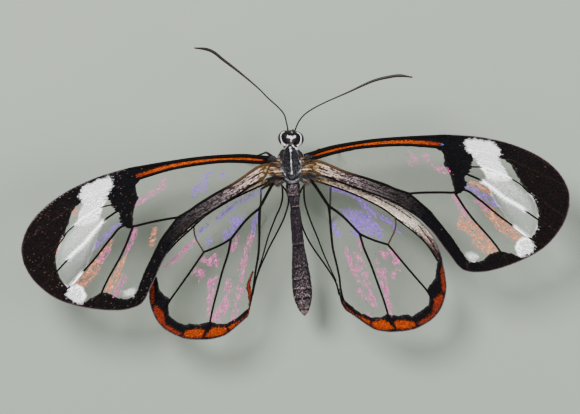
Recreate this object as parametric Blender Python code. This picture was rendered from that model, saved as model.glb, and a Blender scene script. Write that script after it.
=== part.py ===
# Glasswing butterfly at life size, wings spread flat, standing on four feet.
#
# Lengths are in millimetres and become metres when a mesh is made. The frame of the
# numbers has its zero on the floor under the middle of the thorax: the head looks along
# -Y, the back faces +Z, and the animal's own left side is +X. The empty stand_point then
# moves everything so that the origin is under the middle of the whole outline.

import math

import bmesh
import bpy
from mathutils import Matrix, Vector
from mathutils.geometry import delaunay_2d_cdt

for old_object in list(bpy.data.objects):
    bpy.data.objects.remove(old_object, do_unlink=True)

MM = 0.001
GAP = 0.3
UP = Vector((0.0, 0.0, 1.0))

# Driving sizes of the whole animal.
STAND_POINT_X = 0.15
STAND_POINT_Y = 2.55
BACK_HEIGHT = 6.9
BODY_AXIS_HEIGHT = 5.3
BODY_LEAN_X = -0.010

# Wings. Plate is the thickness between the veins, and ridge is how far a vein stands
# proud of each face.
PLATE = 0.5
RIDGE = 0.13
RIDGE_HALF_WIDTH = 0.42
EDGE_STEP = 1.25
VEIN_STEP = 1.8
FIELD_STEP = 3.0
FIELD_CLEARANCE = 1.2
POINT_CLEARANCE = 0.28
ROOT_FRONT = 0.45
ROOT_BACK = 0.75
FOREWING_ROOT_HEIGHT = 6.25
HINDWING_ROOT_HEIGHT = 5.05
FOREWING_RISE = math.radians(4.0)
HINDWING_RISE = math.radians(2.5)
CHORD_BOW = 0.003

# Body.
BODY_SIDES = 18
HEAD_CENTRE_X = -0.2
HEAD_CENTRE_Y = -2.97
HEAD_CENTRE_Z = 5.0
HEAD_HALF_WIDTH = 0.46
EYE_DEPTH = 0.66
EYE_HALF_LENGTH = 0.85
EYE_HALF_HEIGHT = 0.84
THORAX_FRONT_Y = -1.85
THORAX_REAR_Y = 1.9
ABDOMEN_TIP_Y = 16.73

# Limbs. Every one is at least half a millimetre thick except at its tip.
LIMB_RADIUS = 0.26
FEMUR_RADIUS = 0.36
BOSS_RADIUS = 0.42
BOSS_DEPTH = 0.9
LIMB_SIDES = 8
ANTENNA_SIDES = 8
ANTENNA_BASE_Z = 5.75
ANTENNA_TIP_Z = 9.4
CLUB_SHARE = 0.72

# Forewing landmarks, along and across the wing from its root, front edge positive. The
# outline runs from the root round the tip and back along the rear edge.
FOREWING_OUTLINE = [
    (4.7, 2.3), (10.0, 3.7), (15.6, 4.45), (20.9, 4.4), (25.6, 3.0), (28.3, 0.8),
    (29.2, -1.9), (28.4, -4.6), (25.8, -7.4), (22.3, -9.4), (18.6, -10.1), (16.6, -8.2),
    (13.6, -5.3), (9.3, -3.1), (5.1, -2.1), (1.6, -1.2),
]
FOREWING_VEINS = {
    "costa": [(0.9, 0.55), (4.8, 2.05), (10.0, 3.45), (15.6, 4.2), (20.8, 4.15)],
    "radius": [(0.6, 0.2), (4.5, 1.6), (8.3, 2.55), (11.6, 2.95), (14.6, 2.95)],
    "outer_radius": [(14.6, 2.95), (18.2, 3.1), (22.5, 2.6), (26.0, 1.2), (28.0, -0.9)],
    "cell_end": [(14.6, 2.95), (15.9, 1.3), (16.9, -0.4), (16.85, -1.75)],
    "cubitus": [(0.6, -0.2), (3.8, -0.7), (8.0, -1.5), (11.8, -2.35)],
    "cell_rear": [(11.8, -2.35), (14.7, -1.95), (16.85, -1.75)],
    "rear_cubitus": [(11.8, -2.35), (14.4, -4.2), (17.1, -7.3), (18.4, -9.0)],
    "front_cubitus": [(16.85, -1.75), (19.3, -4.6), (21.2, -6.6), (22.3, -8.3)],
    "rear_medial": [(16.85, -1.75), (19.35, -2.2), (23.4, -4.95), (26.1, -6.6)],
    "middle_medial": [(16.7, 0.1), (19.2, -0.1), (23.2, -2.5), (27.5, -4.7)],
    "front_medial": [(16.0, 1.2), (19.0, 1.75), (23.8, 0.0), (28.2, -2.6)],
}

# Hindwing landmarks, in the same way.
HINDWING_OUTLINE = [
    (1.2, 1.3), (4.0, 3.8), (8.0, 6.0), (11.0, 7.0), (14.2, 7.3), (17.3, 6.2),
    (20.0, 4.0), (20.8, 1.6), (20.2, -1.0), (18.4, -3.9), (15.8, -5.1), (13.2, -5.3),
    (10.8, -4.4), (7.9, -4.1), (4.8, -3.8), (2.0, -2.2),
]
HINDWING_VEINS = {
    "costal": [(0.5, 0.3), (3.2, 2.3), (7.7, 4.4), (12.9, 5.9), (16.1, 5.8), (17.4, 4.2)],
    "stem": [(0.4, 0.0), (3.8, 0.0)],
    "cubitus": [(3.8, 0.0), (5.5, 0.5), (8.45, 0.8), (11.5, 2.7)],
    "cross_vein": [(11.5, 2.7), (10.95, 3.8), (9.7, 5.0)],
    "medial": [(11.5, 2.7), (14.8, 3.0), (18.6, 2.9)],
    "front_cubitus": [(8.45, 0.8), (12.65, -0.15), (16.7, -1.6), (18.4, -2.4)],
    "rear_anal": [(3.8, 0.0), (5.7, -1.05), (8.15, -2.4), (13.3, -4.6)],
    "inner_anal": [(1.6, -1.0), (2.9, -1.95), (6.2, -3.1), (10.4, -3.8)],
}

# Where each wing grows: its own zero point, the angle of its axis behind the X axis,
# how far out its root face lies, and how much more, for each millimetre along the wing,
# the field behind its anal vein is folded in.
FOREWING_PLACES = {
    "left": {"zero": (2.18, -0.40), "turn": 14.1, "root": -0.3, "fold": 0.0},
    "right": {"zero": (-1.72, -0.37), "turn": 10.85, "root": 0.1, "fold": 0.0},
}
HINDWING_PLACES = {
    "left": {"zero": (1.38, 1.36), "turn": 53.0, "root": 0.55, "fold": 0.07},
    "right": {"zero": (-1.53, 1.56), "turn": 57.0, "root": 0.35, "fold": 0.0},
}
FOLD_START = 1.0
FOLD_LINE = [(0.0, 0.0), (3.8, 0.0), (8.15, -2.4), (13.3, -4.6), (24.0, -9.2)]
WING_SOCKET_HALF_WIDTH = 0.6
WING_SOCKET_HALF_HEIGHT = 0.36
WING_SOCKET_LENGTH = 1.5

# Body stations: y, half width, top and bottom.
THORAX_STATIONS = [
    (THORAX_FRONT_Y, 0.62, 5.85, 4.35),
    (-1.6, 0.95, 6.25, 4.0),
    (-1.1, 1.3, 6.65, 3.75),
    (-0.4, 1.46, 6.88, 3.65),
    (0.4, 1.42, BACK_HEIGHT, 3.7),
    (1.0, 1.26, 6.75, 3.85),
    (1.5, 1.0, 6.45, 4.15),
    (THORAX_REAR_Y, 0.78, 6.1, 4.55),
]
HEAD_STATIONS = [
    (-3.74, 0.2, 5.3, 4.75),
    (-3.6, 0.36, 5.55, 4.45),
    (-3.3, HEAD_HALF_WIDTH, 5.75, 4.25),
    (-2.6, HEAD_HALF_WIDTH, 5.8, 4.3),
    (THORAX_FRONT_Y - GAP, 0.42, 5.6, 4.5),
]
ABDOMEN_RINGS = [
    (THORAX_REAR_Y + GAP, 1.45), (3.3, 1.2), (4.6, 0.86), (6.6, 1.04), (8.75, 1.12),
    (10.0, 1.45), (11.25, 1.7), (12.6, 1.97), (13.7, 2.03), (14.65, 1.92), (15.85, 1.32),
]
ABDOMEN_GROOVE = 0.93
ABDOMEN_TIP_WIDTH = 0.5
ABDOMEN_DROOP = 1.1

# Antennae seen from above, from the socket to the tip.
ANTENNA_PATHS = {
    "left": [
        (0.22, -3.4), (0.32, -4.6), (0.72, -5.75), (1.62, -7.0), (4.78, -10.54), (7.34, -13.0),
        (8.4, -13.5), (9.5, -13.6),
    ],
    "right": [
        (-0.6, -3.4), (-1.05, -4.4), (-1.85, -5.4), (-3.0, -6.05), (-7.36, -7.75),
        (-10.52, -8.6), (-12.2, -8.75), (-14.0, -8.55),
    ],
}

# Walking legs: hip, knee, ankle and toe, with x counted outwards. The middle feet lie under
# the wings' front edges and the hind shins and feet under the hindwings' rear anal veins.
LEG_JOINTS = {
    "midleg": {
        "left": [(1.35, -0.5, 3.95), (2.6, -1.65, 4.9), (5.2, -0.95, 0.0), (8.1, -1.15, 0.0)],
        "right": [(1.35, -0.5, 3.95), (3.3, -1.5, 4.9), (5.4, -1.15, 0.0), (8.2, -1.45, 0.0)],
    },
    "hindleg": {
        "left": [(1.25, 1.3, 4.15), (3.5, 2.35, 4.4), (4.05, 6.6, 0.0), (4.5, 10.2, 0.0)],
        "right": [(1.25, 1.3, 4.15), (4.2, 2.55, 4.4), (3.83, 6.6, 0.0), (3.98, 10.3, 0.0)],
    },
}
FORELEG_JOINTS = [(0.75, -1.3, 3.9), (1.1, -2.4, 3.35), (1.15, -3.3, 3.6)]
PALP_JOINTS = [(0.3, -3.1, 4.4), (0.36, -3.75, 4.0), (0.3, -4.1, 4.6)]
COIL_RADIUS = 0.72
COIL_TURN = math.radians(285.0)
COIL_POINTS = 12

# Colour, roughness and opacity of each kind of node.
FINISHES = {
    "head": ((0.018, 0.017, 0.018), 0.60, 1.0),
    "eye": ((0.010, 0.008, 0.009), 0.12, 1.0),
    "antenna": ((0.012, 0.010, 0.011), 0.45, 1.0),
    "palp": ((0.060, 0.055, 0.052), 0.70, 1.0),
    "proboscis": ((0.045, 0.025, 0.015), 0.35, 1.0),
    "thorax": ((0.035, 0.034, 0.037), 0.70, 1.0),
    "abdomen": ((0.060, 0.050, 0.058), 0.65, 1.0),
    "wing": ((0.30, 0.29, 0.29), 0.25, 0.45),
    "leg": ((0.030, 0.024, 0.022), 0.50, 1.0),
}


def open_curve(points, step):
    """A smooth curve through the points, with a new point about every step."""
    points = [Vector(p) for p in points]
    ends = [points[0] * 2.0 - points[1]], [points[-1] * 2.0 - points[-2]]
    padded = ends[0] + points + ends[1]
    curve = [points[0]]
    for i in range(1, len(padded) - 2):
        before, start, end, after = padded[i - 1 : i + 3]
        count = max(1, round((end - start).length / step))
        for k in range(1, count + 1):
            t = k / count
            blend = (
                start * 2.0
                + (end - before) * t
                + (before * 2.0 - start * 5.0 + end * 4.0 - after) * t * t
                + (start * 3.0 - before - end * 3.0 + after) * t * t * t
            )
            curve.append(blend * 0.5)
    return curve


def distance_to_line(point, line):
    """The shortest distance from a point to a chain of points."""
    best = math.inf
    for start, end in zip(line, line[1:]):
        along = end - start
        share = max(0.0, min(1.0, (point - start).dot(along) / along.length_squared))
        best = min(best, (point - start - along * share).length)
    return best


def is_inside(point, loop):
    """Whether a flat point lies inside a closed loop of flat points."""
    crossings = 0
    for start, end in zip(loop, loop[1:] + loop[:1]):
        if (start.y > point.y) != (end.y > point.y):
            x = start.x + (point.y - start.y) * (end.x - start.x) / (end.y - start.y)
            crossings += x > point.x
    return crossings % 2 == 1


def make_material(kind, node):
    """The node's own material, from its kind's colour, roughness and opacity."""
    colour, roughness, opacity = FINISHES[kind]
    material = bpy.data.materials.new(node + "_finish")
    material.use_nodes = True
    shader = material.node_tree.nodes["Principled BSDF"]
    shader.inputs["Base Color"].default_value = (*colour, 1.0)
    shader.inputs["Roughness"].default_value = roughness
    shader.inputs["Metallic"].default_value = 0.0
    shader.inputs["Alpha"].default_value = opacity
    return material


def mesh_object(name, vertices, faces):
    """An object in metres from vertices in millimetres, with its faces pointing out."""
    shape = bmesh.new()
    corners = [shape.verts.new(Vector(v) * MM) for v in vertices]
    for face in faces:
        shape.faces.new([corners[i] for i in face])
    bmesh.ops.recalc_face_normals(shape, faces=shape.faces)
    bmesh.ops.triangulate(shape, faces=shape.faces)
    mesh = bpy.data.meshes.new(name)
    shape.to_mesh(mesh)
    shape.free()
    mesh.shade_smooth()
    mesh.set_sharp_from_angle(angle=math.radians(40.0))
    piece = bpy.data.objects.new(name, mesh)
    bpy.context.scene.collection.objects.link(piece)
    return piece


def finish_node(piece, kind):
    """Give a node its material and hang it on the stand point."""
    piece.data.materials.clear()
    piece.data.materials.append(make_material(kind, piece.name))
    piece.parent = stand_point
    return piece


def rings_object(name, rings):
    """A closed body through rings of equal count, with a flat cap at each end."""
    sides = len(rings[0])
    vertices = [v for ring in rings for v in ring]
    faces = [list(range(sides))[::-1]]
    for i in range(len(rings) - 1):
        for k in range(sides):
            a = i * sides + k
            b = i * sides + (k + 1) % sides
            faces.append([a, b, b + sides, a + sides])
    faces.append([(len(rings) - 1) * sides + k for k in range(sides)])
    return mesh_object(name, vertices, faces)


def body_ring(station, centre_x, sides=BODY_SIDES, squareness=2.3):
    """A rounded ring across the body at a station of y, half width, top and bottom."""
    y, half_width, top, bottom = station
    middle = (top + bottom) / 2.0
    half_height = (top - bottom) / 2.0
    ring = []
    for k in range(sides):
        angle = 2.0 * math.pi * (k + 0.5) / sides
        across = math.copysign(abs(math.cos(angle)) ** (2.0 / squareness), math.cos(angle))
        upward = math.copysign(abs(math.sin(angle)) ** (2.0 / squareness), math.sin(angle))
        ring.append(Vector((centre_x + half_width * across, y, middle + half_height * upward)))
    return ring


def tube_ring(centre, direction, radius, cut_normal, sides, side_hint):
    """A ring round a tube, lying in the plane through centre across cut_normal."""
    sideways = direction.cross(side_hint).normalized()
    upward = sideways.cross(direction)
    ring = []
    for k in range(sides):
        angle = 2.0 * math.pi * (k + 0.5) / sides
        offset = (sideways * math.cos(angle) + upward * math.sin(angle)) * radius
        slide = -offset.dot(cut_normal) / direction.dot(cut_normal)
        ring.append(centre + offset + direction * slide)
    return ring


def tube_object(name, path, radii, first_cut=None, last_cut=None, sides=LIMB_SIDES, side_hint=UP):
    """A tube along a path, each end cut square or across the given normal."""
    rings = []
    last = len(path) - 1
    for i, centre in enumerate(path):
        arriving = (path[i] - path[i - 1]).normalized() if i > 0 else None
        leaving = (path[i + 1] - path[i]).normalized() if i < last else None
        direction = arriving or leaving
        cut = direction
        if arriving and leaving:
            cut = (arriving + leaving).normalized()
        if i == 0 and first_cut:
            cut = first_cut
        if i == last and last_cut:
            cut = last_cut
        rings.append(tube_ring(centre, direction, radii[i], cut, sides, side_hint))
    return rings_object(name, rings)


def fused_node(name, pieces):
    """One closed body from overlapping pieces, which are used up."""
    base = pieces[0]
    others = bpy.data.collections.new(name + "_pieces")
    for piece in pieces[1:]:
        others.objects.link(piece)
    union = base.modifiers.new("union", "BOOLEAN")
    union.operation = "UNION"
    union.solver = "EXACT"
    union.operand_type = "COLLECTION"
    union.collection = others
    evaluated = base.evaluated_get(bpy.context.evaluated_depsgraph_get())
    mesh = bpy.data.meshes.new_from_object(evaluated)
    for piece in pieces:
        bpy.data.objects.remove(piece, do_unlink=True)
    bpy.data.collections.remove(others)
    keep_largest_body(mesh)
    mesh.name = name
    node = bpy.data.objects.new(name, mesh)
    bpy.context.scene.collection.objects.link(node)
    return node


def keep_largest_body(mesh):
    """Drop every closed surface of the mesh but its largest, and split it to triangles."""
    shape = bmesh.new()
    shape.from_mesh(mesh)
    left = set(shape.verts)
    islands = []
    while left:
        seed = left.pop()
        island = {seed}
        edge_of_search = [seed]
        while edge_of_search:
            for edge in edge_of_search.pop().link_edges:
                for vertex in edge.verts:
                    if vertex not in island:
                        island.add(vertex)
                        left.discard(vertex)
                        edge_of_search.append(vertex)
        islands.append(island)
    islands.sort(key=len)
    scraps = [v for island in islands[:-1] for v in island]
    bmesh.ops.delete(shape, geom=scraps, context="VERTS")
    bmesh.ops.triangulate(shape, faces=shape.faces)
    shape.to_mesh(mesh)
    shape.free()


def side_sign(side):
    """+1 on the animal's left, which is +X, and -1 on its right."""
    return 1.0 if side == "left" else -1.0


def on_side(point, side):
    """A point given for the left side, on either side."""
    return Vector((point[0] * side_sign(side), point[1], point[2]))


def wing_frame(place, side):
    """The directions along and across a wing, seen from above."""
    turn = math.radians(place["turn"])
    along = Vector((side_sign(side) * math.cos(turn), math.sin(turn)))
    across = Vector((side_sign(side) * math.sin(turn), -math.cos(turn)))
    return along, across


def wing_point(point, place, side, height, rise):
    """Where a wing's own flat point lies in space, on the middle of the plate."""
    along, across = wing_frame(place, side)
    flat = Vector(place["zero"]) + along * point.x + across * point.y
    return Vector((flat.x, flat.y, height + math.tan(rise) * point.x - CHORD_BOW * point.y**2))


def fold_rear(points, fold):
    """Draw the field behind the anal vein in towards that vein."""
    folded = []
    for u, v in points:
        for (start, start_v), (end, end_v) in zip(FOLD_LINE, FOLD_LINE[1:]):
            if start <= u < end:
                vein_v = start_v + (end_v - start_v) * (u - start) / (end - start)
        share = max(0.0, 1.0 - fold * max(0.0, u - FOLD_START))
        folded.append(Vector((u, vein_v + (v - vein_v) * share if v < vein_v else v)))
    return folded


def wing_node(name, outline, veins, place, side, height, rise):
    """A wing plate with its main veins raised on both faces, split alike on both."""
    root = place["root"]
    corners = fold_rear(outline, place["fold"])
    loop = open_curve([(root, ROOT_FRONT)] + corners + [(root, -ROOT_BACK)], EDGE_STEP)
    lines = [open_curve(fold_rear(v, place["fold"]), VEIN_STEP) for v in veins.values()]

    points = list(loop)
    links = [(i, (i + 1) % len(loop)) for i in range(len(loop))]

    def place_point(point):
        for i, taken in enumerate(points):
            if (taken - point).length < POINT_CLEARANCE:
                return i
        points.append(point)
        return len(points) - 1

    for line in lines:
        stops = [place_point(p) for p in line]
        links += [pair for pair in zip(stops, stops[1:]) if pair[0] != pair[1]]

    centre_count = len(points)
    for line in lines:
        for i in range(len(line)):
            ahead = line[min(i + 1, len(line) - 1)] - line[max(i - 1, 0)]
            beside = Vector((-ahead.y, ahead.x)).normalized() * RIDGE_HALF_WIDTH
            for point in (line[i] + beside, line[i] - beside):
                nearest = min((taken - point).length for taken in points[:centre_count])
                crowded = any((taken - point).length < POINT_CLEARANCE for taken in points)
                in_plate = is_inside(point, loop) and not crowded
                if in_plate and nearest > RIDGE_HALF_WIDTH * 0.8:
                    points.append(point)

    row_step = FIELD_STEP * math.sqrt(3.0) / 2.0
    for row in range(-8, 9):
        for column in range(-1, 12):
            point = Vector((FIELD_STEP * (column + 0.5 * (row % 2)), row_step * row))
            free = all((taken - point).length > FIELD_CLEARANCE for taken in points)
            if free and is_inside(point, loop):
                points.append(point)

    flat, _, triangles = delaunay_2d_cdt(points, links, [], 1, 1e-6)[:3]
    vertices = []
    for level in (1.0, -1.0):
        for point in flat:
            reach = min(distance_to_line(point, line) for line in lines)
            ridge = RIDGE * max(0.0, 1.0 - reach / RIDGE_HALF_WIDTH)
            middle = wing_point(point, place, side, height, rise)
            vertices.append(middle + UP * level * (PLATE / 2.0 + ridge))
    count = len(flat)
    faces = [list(t) for t in triangles] + [[i + count for i in t[::-1]] for t in triangles]
    directed = {(t[i], t[(i + 1) % 3]) for t in triangles for i in range(3)}
    for start, end in sorted(directed):
        if (end, start) not in directed:
            faces.append([end, start, start + count])
            faces.append([end, start + count, end + count])
    return finish_node(mesh_object(name, vertices, faces), "wing")


def wing_socket(place, side, height):
    """The block on the thorax that a wing's root face meets."""
    along, across = wing_frame(place, side)
    outer = place["root"] - GAP
    rings = []
    for reach in (outer - WING_SOCKET_LENGTH, outer):
        ring = []
        for sideways, upward in ((-1, -1), (1, -1), (1, 1), (-1, 1)):
            flat = Vector(place["zero"]) + along * reach
            flat += across * sideways * WING_SOCKET_HALF_WIDTH
            ring.append(Vector((flat.x, flat.y, height + upward * WING_SOCKET_HALF_HEIGHT)))
        rings.append(ring)
    return rings_object("socket", rings)


def root_boss(root, direction, radius=BOSS_RADIUS, depth=BOSS_DEPTH):
    """A short round stub on the body whose end face a limb meets."""
    return tube_object("boss", [root - direction * depth, root], [radius, radius])


def first_direction(points):
    """The direction in which a limb leaves its root."""
    return (Vector(points[1]) - Vector(points[0])).normalized()


def leg_points(leg, side):
    """Hip, knee, ankle and toe of a walking leg."""
    points = [on_side(p, side) for p in LEG_JOINTS[leg][side]]
    foot_height = LIMB_RADIUS * math.cos(math.pi / LIMB_SIDES)
    points[2].z = foot_height
    points[3].z = foot_height
    return points


def leg_nodes(leg, side):
    """Femur, tibia and tarsus, each cut across the bend where it meets the next."""
    hip, knee, ankle, toe = leg_points(leg, side)
    thigh = (knee - hip).normalized()
    shin = (ankle - knee).normalized()
    foot = (toe - ankle).normalized()
    knee_cut = (thigh + shin).normalized()
    ankle_cut = (shin + foot).normalized()

    def back_off(direction, cut):
        return direction * (GAP / 2.0) / direction.dot(cut)

    femur_path = [hip + thigh * GAP, hip.lerp(knee, 0.55), knee - back_off(thigh, knee_cut)]
    femur = tube_object(
        f"{leg}_{side}_femur",
        femur_path,
        [FEMUR_RADIUS * 0.85, FEMUR_RADIUS, LIMB_RADIUS],
        last_cut=knee_cut,
    )
    tibia_path = [knee + back_off(shin, knee_cut), ankle - back_off(shin, ankle_cut)]
    tibia = tube_object(
        f"{leg}_{side}_tibia",
        tibia_path,
        [LIMB_RADIUS, LIMB_RADIUS],
        first_cut=knee_cut,
        last_cut=ankle_cut,
    )
    tarsus_path = [ankle + back_off(foot, ankle_cut), toe - foot * 0.35, toe]
    tarsus = tube_object(
        f"{leg}_{side}_tarsus",
        tarsus_path,
        [LIMB_RADIUS, LIMB_RADIUS, LIMB_RADIUS],
        first_cut=ankle_cut,
    )
    return [finish_node(piece, "leg") for piece in (femur, tibia, tarsus)]


def antenna_curve(side):
    """The antenna's path, rising evenly from the brow to the tip."""
    seen = open_curve(ANTENNA_PATHS[side], 1.1)
    reach = [0.0]
    for start, end in zip(seen, seen[1:]):
        reach.append(reach[-1] + (end - start).length)
    climb = ANTENNA_TIP_Z - ANTENNA_BASE_Z
    return [
        Vector((p.x, p.y, ANTENNA_BASE_Z + climb * r / reach[-1])) for p, r in zip(seen, reach)
    ]


def antenna_nodes(side):
    """The stalk and the thicker club of one antenna."""
    path = antenna_curve(side)
    direction = (path[1] - path[0]).normalized()
    path[0] = path[0] + direction * GAP
    split = round(len(path) * CLUB_SHARE)
    stalk_path = path[:split]
    club_path = path[split - 1 :]
    joint = (path[split - 1] - path[split - 2]).normalized()
    stalk_path[-1] = stalk_path[-1] - joint * (GAP / 2.0)
    club_path[0] = club_path[0] + joint * (GAP / 2.0)
    club_radii = [LIMB_RADIUS] * len(club_path)
    club_radii[-3:] = [LIMB_RADIUS * 1.1, LIMB_RADIUS, LIMB_RADIUS * 0.5]
    stalk_radii = [LIMB_RADIUS] * len(stalk_path)
    stalk = tube_object(
        f"antenna_{side}_stalk", stalk_path, stalk_radii, last_cut=joint, sides=ANTENNA_SIDES
    )
    club = tube_object(
        f"antenna_{side}_club", club_path, club_radii, first_cut=joint, sides=ANTENNA_SIDES
    )
    return [finish_node(piece, "antenna") for piece in (stalk, club)]


def head_point(point, side):
    """A point given for the left of the head, moved to the head's own middle."""
    return on_side(point, side) + Vector((HEAD_CENTRE_X, 0.0, 0.0))


def head_node():
    """The head with a stub for each antenna and palp and for the coiled tongue."""
    rings = [body_ring(station, HEAD_CENTRE_X, squareness=2.8) for station in HEAD_STATIONS]
    pieces = [rings_object("skull", rings)]
    for side in ("left", "right"):
        path = antenna_curve(side)
        pieces.append(root_boss(path[0], (path[1] - path[0]).normalized(), 0.3, 0.4))
        palp = [head_point(p, side) for p in PALP_JOINTS]
        pieces.append(root_boss(palp[0], first_direction(palp), 0.3, 0.4))
    pieces.append(root_boss(coil_root(), -UP, 0.3, 0.5))
    return finish_node(fused_node("head", pieces), "head")


def eye_node(side):
    """A round-fronted eye with a flat inner face beside the head."""
    inner = HEAD_HALF_WIDTH + GAP
    shape = bmesh.new()
    bmesh.ops.create_uvsphere(shape, u_segments=16, v_segments=12, radius=1.0)
    size = Vector((EYE_DEPTH, EYE_HALF_LENGTH, EYE_HALF_HEIGHT)) * MM
    quarter_turn = Matrix.Rotation(math.pi / 2.0, 4, "Y")
    bmesh.ops.transform(shape, matrix=quarter_turn, verts=shape.verts)
    bmesh.ops.scale(shape, vec=size, verts=shape.verts)
    everything = shape.verts[:] + shape.edges[:] + shape.faces[:]
    bmesh.ops.bisect_plane(
        shape,
        geom=everything,
        dist=1e-9,
        plane_co=(0.0, 0.0, 0.0),
        plane_no=(side_sign(side), 0.0, 0.0),
        clear_inner=True,
    )
    rim = [edge for edge in shape.edges if edge.is_boundary]
    bmesh.ops.edgeloop_fill(shape, edges=rim)
    centre = head_point((inner, HEAD_CENTRE_Y, HEAD_CENTRE_Z), side)
    bmesh.ops.translate(shape, vec=centre * MM, verts=shape.verts)
    bmesh.ops.recalc_face_normals(shape, faces=shape.faces)
    bmesh.ops.triangulate(shape, faces=shape.faces)
    mesh = bpy.data.meshes.new("eye_" + side)
    shape.to_mesh(mesh)
    shape.free()
    mesh.shade_smooth()
    mesh.set_sharp_from_angle(angle=math.radians(40.0))
    eye = bpy.data.objects.new("eye_" + side, mesh)
    bpy.context.scene.collection.objects.link(eye)
    return finish_node(eye, "eye")


def thorax_node():
    """The thorax with the four wing sockets and the stubs of six legs."""
    rings = [body_ring(station, 0.0) for station in THORAX_STATIONS]
    pieces = [rings_object("trunk", rings)]
    for side in ("left", "right"):
        pieces.append(wing_socket(FOREWING_PLACES[side], side, FOREWING_ROOT_HEIGHT))
        pieces.append(wing_socket(HINDWING_PLACES[side], side, HINDWING_ROOT_HEIGHT))
        for leg in LEG_JOINTS:
            points = leg_points(leg, side)
            pieces.append(root_boss(points[0], first_direction(points)))
        foreleg = [on_side(p, side) for p in FORELEG_JOINTS]
        pieces.append(root_boss(foreleg[0], first_direction(foreleg), 0.3, 0.6))
    return finish_node(fused_node("thorax", pieces), "thorax")


def abdomen_axis(y):
    """The middle of the abdomen at a distance y, drooping towards the tip."""
    share = (y - THORAX_REAR_Y) / (ABDOMEN_TIP_Y - THORAX_REAR_Y)
    return Vector((BODY_LEAN_X * y, y, BODY_AXIS_HEIGHT - ABDOMEN_DROOP * share**2))


def abdomen_node():
    """The abdomen, each segment swelling a little between the grooves at its ends."""
    rings = []

    def add_ring(y, width):
        middle = abdomen_axis(y)
        half = width / 2.0
        rings.append(body_ring((y, half, middle.z + half, middle.z - half), middle.x, squareness=2.0))

    add_ring(*ABDOMEN_RINGS[0])
    for (start, start_width), (end, end_width) in zip(ABDOMEN_RINGS, ABDOMEN_RINGS[1:]):
        length = end - start
        add_ring(start + length * 0.25, start_width + (end_width - start_width) * 0.25)
        add_ring(start + length * 0.85, start_width + (end_width - start_width) * 0.85)
        add_ring(end, end_width * ABDOMEN_GROOVE)
    add_ring(ABDOMEN_TIP_Y - 0.45, 0.95)
    add_ring(ABDOMEN_TIP_Y, ABDOMEN_TIP_WIDTH)
    return finish_node(rings_object("abdomen", rings), "abdomen")


def bent_limb_node(name, points, side, place_point, kind):
    """A short limb of one piece from a root through a bend to its tip."""
    joints = [place_point(p, side) for p in points]
    start = joints[0] + (joints[1] - joints[0]).normalized() * GAP
    path = open_curve([start] + joints[1:], 0.7)
    radii = [LIMB_RADIUS] * (len(path) - 1) + [LIMB_RADIUS * 0.5]
    return finish_node(tube_object(name, path, radii), kind)


def coil_root():
    """The stub under the head that the tongue hangs from."""
    return Vector((HEAD_CENTRE_X, HEAD_CENTRE_Y - 0.1, 4.1))


def proboscis_node():
    """The tongue, rolled up in a small upright coil under the head."""
    top = coil_root() - UP * GAP
    centre = top + Vector((0.0, COIL_RADIUS, 0.0))
    path = []
    for i in range(COIL_POINTS):
        share = i / (COIL_POINTS - 1)
        angle = math.pi + COIL_TURN * share
        radius = COIL_RADIUS * (1.0 - 0.25 * share)
        path.append(centre + Vector((0.0, math.cos(angle), math.sin(angle))) * radius)
    radii = [LIMB_RADIUS] * (COIL_POINTS - 1) + [LIMB_RADIUS * 0.6]
    across = Vector((1.0, 0.0, 0.0))
    coil = tube_object("proboscis", path, radii, first_cut=-UP, side_hint=across)
    return finish_node(coil, "proboscis")


stand_point = bpy.data.objects.new("stand_point", None)
stand_point.location = (-STAND_POINT_X * MM, -STAND_POINT_Y * MM, 0.0)
bpy.context.scene.collection.objects.link(stand_point)

head_node()
thorax_node()
abdomen_node()
proboscis_node()
for body_side in ("left", "right"):
    eye_node(body_side)
    antenna_nodes(body_side)
    bent_limb_node("palp_" + body_side, PALP_JOINTS, body_side, head_point, "palp")
    bent_limb_node("foreleg_" + body_side, FORELEG_JOINTS, body_side, on_side, "leg")
    for walking_leg in LEG_JOINTS:
        leg_nodes(walking_leg, body_side)
    wing_node(
        "forewing_" + body_side,
        FOREWING_OUTLINE,
        FOREWING_VEINS,
        FOREWING_PLACES[body_side],
        body_side,
        FOREWING_ROOT_HEIGHT,
        FOREWING_RISE,
    )
    wing_node(
        "hindwing_" + body_side,
        HINDWING_OUTLINE,
        HINDWING_VEINS,
        HINDWING_PLACES[body_side],
        body_side,
        HINDWING_ROOT_HEIGHT,
        HINDWING_RISE,
    )
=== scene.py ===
import math

import bmesh
import bpy
import numpy as np
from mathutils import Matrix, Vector


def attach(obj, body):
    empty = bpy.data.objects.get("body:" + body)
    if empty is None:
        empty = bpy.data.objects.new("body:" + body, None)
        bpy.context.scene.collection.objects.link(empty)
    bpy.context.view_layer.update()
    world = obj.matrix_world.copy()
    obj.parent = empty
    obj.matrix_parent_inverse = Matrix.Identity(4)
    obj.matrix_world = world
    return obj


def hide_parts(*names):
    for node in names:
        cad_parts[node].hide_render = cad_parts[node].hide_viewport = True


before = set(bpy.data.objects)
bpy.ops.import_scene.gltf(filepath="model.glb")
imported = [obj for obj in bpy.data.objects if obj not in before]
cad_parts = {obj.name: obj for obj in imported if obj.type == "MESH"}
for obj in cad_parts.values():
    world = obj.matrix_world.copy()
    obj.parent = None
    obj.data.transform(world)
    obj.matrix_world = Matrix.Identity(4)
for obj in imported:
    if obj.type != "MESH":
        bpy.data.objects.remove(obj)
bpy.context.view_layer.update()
chance = np.random.default_rng(11)  # every random draw comes from here

mm = 0.001
standShift = np.array([-0.15, -2.55, 0.0])  # the body's middle to the middle of the floor box


# small tools for curves, meshes and nodes

def placeInRoom(points):  # millimetres from the thorax's middle to metres on the floor
    return (np.asarray(points, float) + standShift) * mm


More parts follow.
